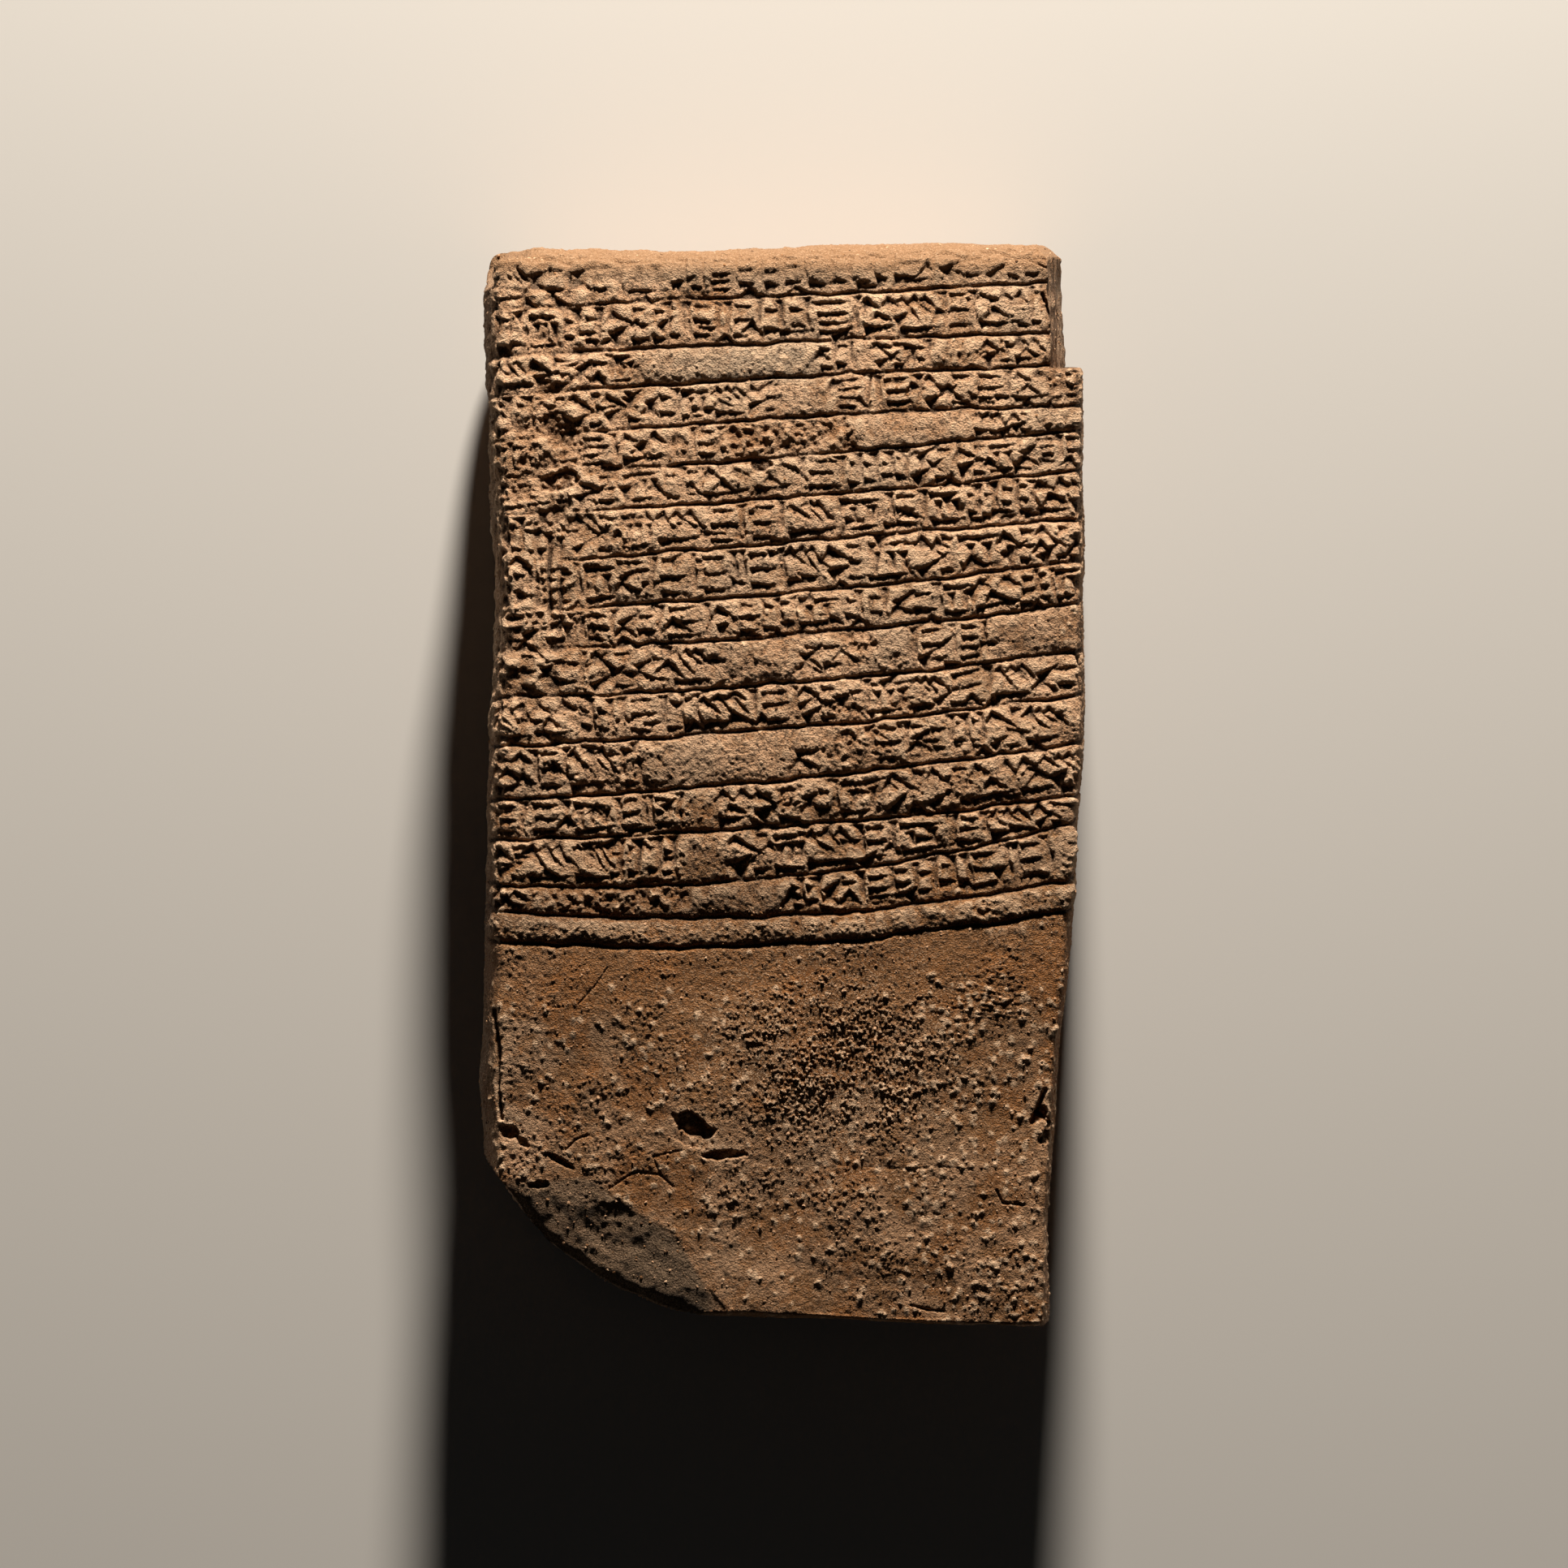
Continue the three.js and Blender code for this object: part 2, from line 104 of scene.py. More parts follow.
# ---- Which stretches of each row, from left to right, carry strokes ----
WRITTEN = [
    [(-31.8, 29)], [(-31.8, 29)], [(-31.8, -16), (4, 8.5), (10, 16), (22, 28.5)],
    [(-31.8, -0.5), (5.5, 32.4)], [(-31.8, -12), (-10, 7), (21, 27)], [(-31.8, 33.9)],
    [(-31.8, 33.9)], [(-31.8, 33.9)], [(-31.8, 33.9)], [(-31.8, -6.5), (2.5, 8.5), (14, 24)],
    [(-31.8, 33.9)], [(-31.8, -15), (9.5, 30.9)], [(-31.8, -11), (-7, 33.9)],
    [(-31.8, -11.5), (-5.5, 32.4)], [(-31.8, -27), (1, 29)],
]

# ---- A stroke's form: lengths are shares of its head's width ----
HEAD_DEPTHS = (0.75, 1.2)
HEAD_LENGTH = 1.7
HEAD_END = 0.26
HEAD_SLOPE = 1.4
STEEP_SLOPE = 3.0
GENTLE_SLOPE = 0.5
TAIL_DEPTH = 0.36

# ---- How groups and small strokes follow one another, mm ----
GROUP_WIDTH = (3.2, 5.6)
GROUP_GAP = (0, 0.3)
NARROWEST_GROUP = 1.6
ROW_MARGIN = 0.7
LINE_MARGIN = 0.3
SMALL_STROKE_GAP = (2.3, 4.4)
NARROWEST_STROKE = 1.4

# ---- Strokes that stand outside the groups: tall posts at the left, lone wedges beside blanks ----
LONE_STROKES = [
    (-27.2, 27.6, -88, 10.5, 1.6), (-25.8, 27.2, -90, 11.0, 1.5), (-24.5, 26.8, -91, 10.0, 1.5),
    (-16.6, 29.2, -90, 4.6, 1.3), (-28.4, 16.2, 24, 5.5, 1.9), (-28.6, 15.4, -34, 4.6, 1.8),
    (2.2, 13.8, 20, 2.6, 1.5), (2.2, 13.2, -26, 2.8, 1.6), (1.6, 3.2, 16, 3.0, 1.5),
    (1.6, 2.7, -22, 2.6, 1.5), (15.0, 13.6, 38, 6.0, 1.7), (-12.0, 8.6, 26, 6.4, 1.7),
    (-5.6, 7.4, -12, 5.0, 1.6),
]

# ---- The clay is modelled in sections that meet in ruled lines: name, lower line, upper line ----
SECTIONS = [
    ("tablet_rows_upper", 5, None),
    ("tablet_rows_middle", 10, 5),
    ("tablet_rows_lower", 15, 10),
    ("tablet_field", None, 15),
]

# ---- Hollows in the face: x, y, length, width, depth, turn ----
HOLLOWS = [
    (-9.9, -37.2, 3.9, 2.3, 0.7, -20), (-10.0, -38.9, 3.2, 1.8, 0.25, -10),
    (-6.3, -40.7, 4.4, 0.8, 0.7, 2), (-30.2, -38.2, 2.2, 1.2, 0.6, -20),
    (-28.8, -39.3, 1.8, 0.9, 0.4, -40), (-24.8, -41.3, 3.6, 0.6, 0.7, -30),
    (-27.0, -44.1, 2.0, 0.6, 0.6, 5), (-24.6, 33.2, 4.6, 2.2, 0.5, 10),
    (-2.4, 35.0, 2.2, 1.2, 0.5, 0), (29.9, 52.9, 1.6, 0.7, 0.6, 70),
    (28.5, 58.0, 1.0, 0.6, 0.3, -30), (28.9, 35.9, 1.3, 0.8, 0.4, 20),
    (27.9, -36.3, 2.0, 1.2, 0.7, 50), (29.0, -38.6, 1.6, 1.0, 0.7, 80),
]

# ---- Cracks, and the deep sides of the tall posts: points, half width, depth ----
CRACKS = [
    ([(-26.9, 27.6), (-26.7, 22.0)], 0.4, 0.3),
    ([(-25.6, 27.0), (-25.8, 22.4), (-25.6, 16.8)], 0.4, 0.3),
    ([(-24.4, 22.2), (-24.7, 16.4)], 0.4, 0.3),
    ([(-27.1, 21.4), (-27.4, 16.8)], 0.35, 0.25),
    ([(28.7, -33.6), (27.8, -36.0), (29.4, -37.2), (28.2, -39.2)], 0.35, 0.9),
    ([(23.3, -44.6), (24.0, -46.0), (26.4, -46.2)], 0.16, 0.5),
    ([(13.9, -57.2), (15.8, -57.8), (17.6, -57.9)], 0.14, 0.4),
    ([(9.0, -42.0), (13.5, -42.3), (17.0, -42.0), (20.6, -42.4)], 0.14, 0.12),
    ([(-19.4, -20.2), (-20.6, -22.0), (-22.6, -24.2)], 0.12, 0.18),
    ([(-24.0, -40.2), (-22.8, -39.0), (-21.6, -38.6)], 0.14, 0.35),
    ([(-19.4, -44.6), (-16.5, -42.6), (-13.6, -42.9), (-12.2, -44.2)], 0.14, 0.22),
    ([(-13.6, -42.9), (-14.4, -40.9), (-11.2, -40.2)], 0.12, 0.2),
    ([(28.4, 53.9), (28.9, 52.7), (29.4, 51.2)], 0.24, 1.1),
    ([(-31.9, -24.9), (-31.3, -29.0), (-31.5, -33.0), (-31.1, -36.7)], 0.35, 1.2),
    ([(27.0, 57.6), (28.6, 56.9), (30.2, 56.4)], 0.12, 0.4),
]

# ---- The broken lower left corner: bearings in degrees around the centre of its rim ----
BREAK = {"x": -2.5, "y": -25, "radius": 34.1, "reach": 8.5, "end": -91}
BREAK_FALL = {"left": 0.08, "scoop": 0.03, "step": 0.12, "gully": 0.05, "rim": 0.45}
BREAK_WALL_SLOPE = 30
BREAK_LIP_SLOPE = 0.6

# ---- Chips: name, a point on the new face, where it looks, size, lumps and their heights, seed ----
CHIPS = [
    ("edge_flake", (29.8, 58.8, 15), (1, 0.02, 0.1), 26, ((4, 0.3), (1.5, 0.2), (0.6, 0.12)), 51),
    ("edge_bevel", (31.2, 55, 21.7), (0.6, 0.1, 0.8), 18, ((4, 0.4), (1.5, 0.3), (0.6, 0.14)), 57),
    ("corner_nick", (29.6, 58.6, 14), (0.66, 0.74, 0.1), 26, ((3, 0.25), (1.2, 0.15)), 67),
    ("corner_chip", (-30.4, 57.6, 15), (-0.62, 0.76, 0.2), 14, ((3, 0.35), (1.2, 0.12)), 61),
]

# ---- Seams, the sides' lumps, how softly the back flattens, side grains' share and lowest place ----
SEAM_WIDTH = 0.4
SIDE_CELLS = 46
SIDE_LUMPS = ((15, 0.3), (6, 0.14), (2.2, 0.06), (0.8, 0.03))
SETTLED = 0.25
GRAINS_FROM_SIDE = 0.12
LOWEST_GRAIN = 2


# ---- Sizes and colours that a user would change ----
def number(name, description, default, **more):
    return bpy.props.FloatProperty(name=name, description=description, default=default, **more)


def whole(name, description, default):
    return bpy.props.IntProperty(name=name, description=description, default=default)


def tint(name, description, default):
    return bpy.props.FloatVectorProperty(
        name=name, description=description, subtype="COLOR", size=3, min=0, max=1, default=default
    )


class WritingSettings(bpy.types.PropertyGroup):
    """How the ruled lines and strokes are pressed."""

    seed: whole("Layout", "Number that the groups are drawn from", 20617)
    stroke_depth: number("Stroke depth", "Depth of a stroke's head as a share of its width", 0.43)
    ruling_depth: number("Ruling depth", "Depth of a ruled line, mm", 0.5)
    row_bulge: number("Row bulge", "How far the clay swells between two ruled lines, mm", 0.34)
    shoulder: number("Shoulder", "How far the clay rounds down into a stroke, mm", 0.42)
    pillow: number("Pillow", "How deep the clay sinks around a stroke, mm", 0.24)
    squeeze: number("Squeeze", "How much of the pressed clay rises beside the stroke", 0.5)


class SurfaceSettings(bpy.types.PropertyGroup):
    """The clay's weathered surface."""

    pimples: whole("Pimples", "How many mineral pimples", 1150)
    grains: whole("Grains", "How many fine crust grains", 6000)
    crust: number("Crust", "Height of the mineral crust, mm", 0.1)
    triangles: whole("Triangles", "How many triangles each section of the clay keeps", 196000)
    spacing: number("Spacing", "Distance between points of the face before thinning, mm", 0.13)


class ClaySettings(bpy.types.PropertyGroup):
    """Colours of the clay and of what has settled on it; the dark and pale colours also stand in for painted
    shade and painted highlight.
    """

    buff: tint("Buff", "Dry clay where it is cleanest", (0.50, 0.30, 0.175))
    brown: tint("Brown", "Clay where it is stained", (0.225, 0.108, 0.042))
    # Dirt also serves as painted shade, in the hollows of the strokes and along the left rim.
    dirt_and_shade: tint("Dirt", "Earth left in the strokes", (0.06, 0.03, 0.015))
    broken: tint("Broken", "Clay of the broken corner", (0.135, 0.086, 0.05))
    rust: tint("Rust", "Iron stains", (0.26, 0.105, 0.03))
    grey: tint("Grey", "Clay where it is burnt grey", (0.30, 0.235, 0.165))
    # Salt also serves as painted highlight, on the ridges and on the pimples.
    salt: tint("Salt", "Pale mineral grains and worn edges", (0.64, 0.43, 0.27))


class StageSettings(bpy.types.PropertyGroup):
    """Floor, lights and camera."""

    floor: tint("Floor", "Plain pale floor", (0.62, 0.60, 0.57))
    lens: number("Lens", "Focal length, mm", 250)
    view_width: number("View width", "Width seen at the tablet's outline, m", 0.17388, unit="LENGTH")
    key_power: number("Key power", "Raking light, W", 9.7)
    fill_power: number("Fill power", "Soft light from the other side, W", 0.02)
    ambient: number("Ambient", "Strength of the surroundings", 0.006)


# ---- Numbers ----
def make_chance(seed):
    """Each call of the result gives the next repeatable number between low and high."""
    state = seed

    def chance(low, high):
        nonlocal state
        state = (state * 16807) % 2147483647
        return low + ((high - low) * state) / 2147483647

    return chance


def ramp(value, low, high):
    """0 below low, 1 above high, and smooth in between."""
    t = np.clip((value - low) / (high - low), 0, 1)
    return t * t * (3 - 2 * t)


def bell(value, centre, spread):
    return np.exp(-(((value - centre) / spread) ** 2))


def turned(x, y, c, s):
    """How far places lie along a direction and across it, from its cosine and sine."""
    return x * c + y * s, y * c - x * s


def clay_noise(points, size, seed):
    """Smooth noise from -1 to 1 at points in space, with lumps about size millimetres across."""
    place = points / size
    corner = np.floor(place)
    blend = place - corner
    blend = blend * blend * (3 - 2 * blend)
    corner = corner.astype(np.int64)
    total = np.zeros(len(points))
    for k in range(8):
        step = np.array([k & 1, k >> 1 & 1, k >> 2 & 1])
        weight = np.prod(np.where(step, blend, 1 - blend), axis=1)
        key = (corner + step) @ np.array([73856093, 19349663, 83492791]) + seed * 40503
        key = ((key ^ (key >> 13)) * 1274126177) & 0xFFFFFFFF
        total += weight * (((key ^ (key >> 15)) & 0xFFFF) / 32767.5 - 1)
    return total


# ---- The tablet's form ----
def left_edge(y):
    return -HALF_WIDTH + 1.1 * bell(y, 18, 17)


def right_edge(y):
    return HALF_WIDTH - 3.9 * ramp(-y, -12, 56) - 0.6 * ramp(y, 36, 52)


def across_at(y):
    """The middle of the tablet and half its width, at a height."""
    return (left_edge(y) + right_edge(y)) / 2, (right_edge(y) - left_edge(y)) / 2


def top_edge(x):
    return HALF_LENGTH - 0.75 * bell(x, -13, 22)


def bottom_edge(x):
    return -HALF_LENGTH + 1.25 * ramp(-x, -26, 8)


def face_height(x, y):
    """The inscribed face, before anything is pressed or broken into it."""
    along = np.where(y > 0, FACE_DROP_UPPER, FACE_DROP_LOWER) * (y / HALF_LENGTH) ** 2
    across = FACE_DROP_ACROSS * (x / HALF_WIDTH) ** 2
    return THICKNESS - along - across


def back_height(x, y):
    """The back is flat in the middle and lifts off the floor towards its rim."""
    away = np.hypot(x / HALF_WIDTH, y / HALF_LENGTH)
    return BACK_RISE * (np.maximum(0, away - BACK_FLAT) / (math.sqrt(2) - BACK_FLAT)) ** 2


HALF = np.array([HALF_WIDTH, HALF_LENGTH, THICKNESS / 2])


def edge_rounding(plain):
    """The rim's radii along each axis, at points of the plain cushion."""
    across = np.where(plain[:, 0] > 0, EDGE_ROUND["right"], EDGE_ROUND["left"])
    along = np.where(plain[:, 1] > 0, EDGE_ROUND["top"], EDGE_ROUND["bottom"])
    return np.stack([across, along, np.full_like(across, EDGE_ROLL)], axis=1)


def lean_out(plain, rounding):
    """How far points of the plain cushion lie out in its rounded rim, from 0 to 1 on each axis."""
    core = np.clip(plain, rounding - HALF, HALF - rounding)
    lean = (plain - core) / rounding
    sideways = (np.abs(lean[:, 0]) ** CORNER_POWER + np.abs(lean[:, 1]) ** CORNER_POWER) ** (1 / CORNER_POWER)
    return core, lean, sideways


def cushion_points(unit):
    """Moves points of the surface of a cube, each coordinate from -1 to 1, to the clay cushion."""
    rounding = edge_rounding(unit)
    core, lean, sideways = lean_out(unit * HALF, rounding)
    size = np.maximum(np.hypot(sideways, lean[:, 2]), 1e-6)
    x, y, z = (core + lean / size[:, None] * rounding).T
    middle, half = across_at(y)
    out_x = middle + (x / HALF_WIDTH) * half
    out_y = np.where(y > 0, (y / HALF_LENGTH) * top_edge(x), (-y / HALF_LENGTH) * bottom_edge(x))
    low = back_height(x, y)
    up = z / HALF[2]
    return np.stack([out_x, out_y, low + ((up + 1) / 2) * (face_height(out_x, out_y) - low)], axis=1)


def outward(points):
    """The direction out of the cushion at points on it or near it."""
    x, y, z = points.T
    plain_x = (2 * x - left_edge(y) - right_edge(y)) / (right_edge(y) - left_edge(y)) * HALF_WIDTH
    plain_y = y / np.where(y > 0, top_edge(x), -bottom_edge(x)) * HALF_LENGTH
    low = back_height(plain_x, plain_y)
    plain_z = ((z - low) / (face_height(x, y) - low) * 2 - 1) * HALF[2]
    plain = np.stack([plain_x, plain_y, plain_z], axis=1)
    rounding = edge_rounding(plain)
    _, lean, sideways = lean_out(plain, rounding)
    way = np.sign(lean) * np.abs(lean) ** (CORNER_POWER - 1)
    way *= np.maximum(sideways, 1e-6)[:, None] ** (2 - CORNER_POWER)
    way[:, 2] = lean[:, 2]
    way /= rounding
    way[:, 0] += np.maximum(way[:, 2], 0) * 2 * FACE_DROP_ACROSS * x / HALF_WIDTH**2
    drop = np.where(y > 0, FACE_DROP_UPPER, FACE_DROP_LOWER)
    way[:, 1] += np.maximum(way[:, 2], 0) * 2 * drop * y / HALF_LENGTH**2
    return way / np.maximum(np.linalg.norm(way, axis=1), 1e-9)[:, None]


def break_place(x, y):
    """Where points lie in the broken corner: bearing, distance in from its rim, and the scar's reach."""
    bearing = np.degrees(np.arctan2(y - BREAK["y"], x - BREAK["x"]))
    inward = BREAK["radius"] - np.hypot(x - BREAK["x"], y - BREAK["y"])
    reach = BREAK["reach"] * ramp(bearing, -150, -134) * (1 - ramp(bearing, -114, BREAK["end"]))
    return bearing, inward, reach


def broken_height(x, y):
    """The broken corner's surface: a small step down, a slope, and a worn rim above the wall."""
    bearing, inward, reach = break_place(x, y)
    out = np.clip(reach - inward, 0, reach)
    scoop = ramp(bearing, -124, -110)
    fall = BREAK_FALL["left"] + (BREAK_FALL["scoop"] - BREAK_FALL["left"]) * scoop
    sink = fall * out + BREAK_FALL["step"] * ramp(out, 0, 0.5)
    sink += BREAK_FALL["gully"] * bell(bearing, -127, 5) * ramp(out, 0.5, 2.5)
    worn = (1 - ramp(inward, 0, 1.6)) ** 2
    sink += BREAK_FALL["rim"] * worn * (1 - ramp(bearing, -106, BREAK["end"]))
    height = face_height(x, y) - sink * ramp(reach, 0, 6)
    height = np.where(inward < 0, height + BREAK_WALL_SLOPE * inward, height)
    height = np.where(inward > reach, height + BREAK_LIP_SLOPE * (inward - reach), height)
    return np.where((bearing > BREAK["end"]) | (y > BREAK["y"]), THICKNESS + 2, height)


# ---- Writing ----
def ruling_height(ruling, x):
    left, middle, right = ruling
    t = x / RULING_REACH
    return middle + ((right - left) / 2) * t + ((right + left) / 2 - middle) * t * t


def ruling_wobble(row, x):
    """How far a ruled line strays from its even course."""
    return 0.06 * np.sin(x * 0.9 + row) + 0.04 * np.sin(x * 2.3 + 2 * row)


def seam_height(line, x):
    """The course of a ruled line's deepest part."""
    return ruling_height(RULINGS[line], x) + ruling_wobble(line, x)


def upper_ruling(row):
    """The line that a row hangs from."""
    if row:
        return RULINGS[row - 1]
    return tuple(height + FIRST_ROW_HEIGHT for height in RULINGS[0])


# A stroke is x, y of its head's deepest point, its tail's direction in degrees, its length and the
# width of its head.
LEVEL = (-4, 5)
UPRIGHT = (-94, -87)


class Box:
    """Where one group is drawn: wide across, and tall down from its upper left corner.

    Places and lengths are shares of the box, and a pair is a number drawn between its two.
    """

    def __init__(self, wide, tall, chance):
        self.wide, self.tall, self.chance = wide, tall, chance
        self.strokes = []

    def draw(self, value):
        return self.chance(*value) if isinstance(value, tuple) else value

    def few(self, least):
        return least + math.floor(self.chance(0, 1.99))

    def stroke(self, x, y, turn, length, head):
        x, y, turn, length, head = (self.draw(value) for value in (x, y, turn, length, head))
        self.strokes.append((self.wide * x, -self.tall * y, turn, length, head))

    def across(self, x, y, turn, share, head):
        self.stroke(x, y, turn, self.wide * share, head)

    def down(self, x, y, turn, share, head):
        self.stroke(x, y, turn, self.tall * share, head)

    def rungs(self, x, top, bottom, how_many, share):
        """A stack of level strokes."""
        top, bottom, long = self.tall * top, self.tall * bottom, self.wide * share
        step = (bottom - top) / max(1, how_many - 1)
        for i in range(how_many):
            turn, length, head = self.draw(LEVEL), long * self.chance(0.85, 1.05), self.chance(0.85, 1.1)
            self.strokes.append((self.wide * x, -(top + step * i), turn, length, head))


def ladder(box):
    box.rungs(0.1, 0.14, 0.88, box.few(3), 0.68)
    box.down(0.88, 0.06, UPRIGHT, 0.86, 1.3)


def twin(box):
    rungs = box.few(2)
    box.rungs(0.06, 0.22, 0.86, rungs, 0.4)
    box.rungs(0.56, 0.16, 0.8, rungs, 0.36)
    box.down(0.5, 0.04, UPRIGHT, 0.88, 1.1)
    box.down(0.97, 0.08, UPRIGHT, 0.8, 1.0)


def comb(box):
    teeth = box.few(2)
    box.across(0.04, 0.18, LEVEL, 0.9, 1.35)
    for i in range(teeth):
        turn, length = box.chance(-97, -84), box.tall * box.chance(0.4, 0.5)
        box.stroke((i + 0.75) / (teeth + 0.5), 0.38, turn, length, 1.3)
    box.across(0.08, 0.88, (0, 5), 0.84, 0.95)


def corners(box):
    box.across(0.06, 0.82, (0, 6), 0.88, 1.35)
    for i in range(3):
        box.stroke(0.06 + 0.3 * i, 0.48 if i % 2 else 0.14, (-42, -24), 2.0, (1.2, 1.6))


def fan(box):
    box.across(0.1, 0.7, (18, 30), 0.8, 1.7)
    box.across(0.06, 0.2, (-36, -24), 0.7, 1.55)
    box.rungs(0.56, 0.14, 0.86, 3, 0.4)


def posts(box):
    for x in (0.34, 0.84):
        box.down(x, 0.06, (-94, -86), 0.86, 1.45)
        box.across(x - 0.3, (0.2, 0.36), (-4, 4), 0.34, 1.0)
        box.across(x - 0.3, (0.66, 0.84), (-4, 4), 0.34, 1.05)


def brick(box):
    box.down(0.08, 0.06, (-95, -86), 0.86, 1.35)
    box.rungs(0.24, 0.14, 0.84, 3, 0.6)
    box.down(0.93, 0.08, (-96, -88), 0.8, 1.2)


def cross(box):
    box.across(0.08, 0.12, (-42, -34), 0.9, 1.5)
    box.across(0.1, 0.86, (30, 40), 0.84, 1.5)
    box.rungs(0.6, 0.12, 0.9, 2, 0.36)


def arrow(box):
    box.across(0.06, 0.46, (26, 38), 0.5, 1.7)
    box.across(0.06, 0.56, (-38, -26), 0.5, 1.7)
    box.rungs(0.44, 0.3, 0.74, 2, 0.44)
    box.down(0.94, 0.06, (-95, -87), 0.86, 1.3)


def slants(box):
    box.across(0.04, 0.86, (0, 7), 0.92, 1.3)
    for i in range(3):
        box.down(0.06 + 0.28 * i, 0.14, (-56, -40), 0.7, (1.1, 1.5))


GROUPS = (ladder, twin, comb, corners, fan, posts, brick, cross, arrow, slants)


def written_stretches():
    """For each stretch of writing: the lines below and above it, and where it starts and ends."""
    for row, stretches in enumerate(WRITTEN):
        for start, end in stretches:
            yield RULINGS[row], upper_ruling(row), start, end


def all_strokes(seed):
    """Every stroke, group after group along each written stretch of each row."""
    chance = make_chance(seed)
    strokes = list(LONE_STROKES)
    for lower, upper, x, end in written_stretches():
        while x < end - NARROWEST_GROUP:
            wide = min(chance(*GROUP_WIDTH), end - x)
            group = GROUPS[math.floor(chance(0, len(GROUPS) - 0.01))]
            top = ruling_height(upper, x + wide / 2)
            box = Box(wide, top - ruling_height(lower, x + wide / 2) - ROW_MARGIN, chance)
            group(box)
            slope = (ruling_height(upper, x + wide) - ruling_height(upper, x)) / wide
            for dx, dy, turn, length, head in box.strokes:
                y = top - LINE_MARGIN + dy + slope * (dx - wide / 2)
                strokes.append((x + dx, y, turn + math.degrees(slope), length, head))
            x += wide + chance(*GROUP_GAP)
    return strokes


def small_strokes(seed):
    """Lesser strokes that crowd the groups: short level ones, slanting ones and corner dents."""
    chance = make_chance(seed + 1)
    strokes = []
    for lower, upper, x, end in written_stretches():
        while x < end - NARROWEST_STROKE:
            top = ruling_height(upper, x)
            y = top - (top - ruling_height(lower, x)) * chance(0.1, 0.92)
            kind = chance(0, 1)
            if kind < 0.5:
                strokes.append((x, y, chance(-5, 8), min(chance(1.8, 3.4), end - x), chance(0.9, 1.3)))
            elif kind < 0.75:
                turn = chance(24, 42) * (1 if chance(0, 1) > 0.5 else -1)
                strokes.append((x, y, turn, chance(2.0, 3.4), chance(1.3, 1.8)))
            else:
                strokes.append((x, y, chance(-45, -20), chance(1.4, 2.0), chance(1.2, 1.6)))
            x += chance(*SMALL_STROKE_GAP)
    return strokes


# ---- The face's relief, on a fine grid ----
class FaceMap:
    """Grids over the face, unrolled past its rim, and the marks that are made on them."""

    cell = 0.08
    reach_u = 44.0
    reach_v = 71.0

    def __init__(self, seed):
        self.random = np.random.RandomState(seed)
        self.us = np.arange(-self.reach_u, self.reach_u, self.cell)
        self.vs = np.arange(-self.reach_v, self.reach_v, self.cell)
        self.u, self.v = np.meshgrid(self.us, self.vs)
        self.wave = np.hypot(*np.meshgrid(np.fft.rfftfreq(len(self.us)), np.fft.fftfreq(len(self.vs))))
        self.noise = {size: self.make_noise(size) for size in (14, 6, 2.6, 1.2, 0.6, 0.4, 0.26)}
        self.rag = 0.22 * self.noise[2.6] + 0.16 * self.noise[1.2]
        self.bent_u = self.u + 0.1 * self.noise[2.6] + 0.03 * self.noise[1.2]
        self.bent_v = self.v + 0.07 * self.noise[6] + 0.05 * self.noise[2.6] + 0.02 * self.noise[1.2]
        self.depth = np.zeros_like(self.u)  # how deep each place is pressed
        self.beside = np.full_like(self.u, 9.0)  # how far it is from the rim of a stroke or line

    def blur(self, grid, size):
        """The grid smoothed over about size millimetres."""
        soften = np.exp(-2 * (math.pi * self.wave * size / self.cell) ** 2)
        return np.fft.irfft2(np.fft.rfft2(grid) * soften, s=grid.shape)

    def make_noise(self, size):
        """Smooth noise with a spread of 1 and lumps about size millimetres across."""
        grid = self.blur(self.random.standard_normal(self.u.shape), size * 0.3)
        return grid / grid.std()

    def patch(self, x, y, long, wide, turn=0.0, edge=0.3, ragged=0.0):
        """1 inside an oval and 0 outside it; ragged is noise that eats into its rim."""
        turn = math.radians(turn)
        along, across = turned(self.u - x, self.v - y, math.cos(turn), math.sin(turn))
        away = np.hypot(along / (long / 2), across / (wide / 2))
        return 1 - ramp(away + ragged, 1 - edge, 1 + edge)

    def sample(self, grid, u, v):
        """The grid's values between its cells."""
        i = np.clip((u + self.reach_u) / self.cell, 0, len(self.us) - 1.001)
        j = np.clip((v + self.reach_v) / self.cell, 0, len(self.vs) - 1.001)
        i0, j0 = i.astype(int), j.astype(int)
        a, b = i - i0, j - j0
        low = grid[j0, i0] * (1 - a) + grid[j0, i0 + 1] * a
        high = grid[j0 + 1, i0] * (1 - a) + grid[j0 + 1, i0 + 1] * a
        return low * (1 - b) + high * b

    def window(self, x, y, size):
        """The part of the grid within size millimetres of a point."""
        i = np.searchsorted(self.us, [x - size, x + size])
        j = np.searchsorted(self.vs, [y - size, y + size])
        return slice(*j), slice(*i)


def press_stroke(face, stroke, deepest):
    """Sinks one stroke into the face: a three-sided head, and an even tail that runs out."""
    x, y, turn, length, width = stroke
    here = face.window(x, y, length + width + 1)
    turn = math.radians(turn)
    along, across = turned(face.bent_u[here] - x, face.bent_v[here] - y, math.cos(turn), math.sin(turn))
    head = deepest * width * face.random.uniform(*HEAD_DEPTHS)
    tail = min(TAIL_DEPTH, 0.8 * head) * np.clip((length - along) / (0.4 * length), 0, 1)
    end_wall = head + along * head / (HEAD_END * width)
    gentle = -GENTLE_SLOPE * across
    head_wall = head * (1 - along / min(HEAD_LENGTH * width, length))
    head_wall = head_wall - np.maximum(HEAD_SLOPE * across, gentle)
    tail_wall = tail - np.maximum(STEEP_SLOPE * across, gentle)
    dent = np.minimum(end_wall, np.maximum(head_wall, tail_wall))
    face.depth[here] = np.maximum(face.depth[here], dent)
    past_side = np.maximum(-dent / 1.8, 0)
    past_end = np.maximum(-along - HEAD_END * width, along - length)
    face.beside[here] = np.minimum(face.beside[here], np.maximum(past_side, past_end))


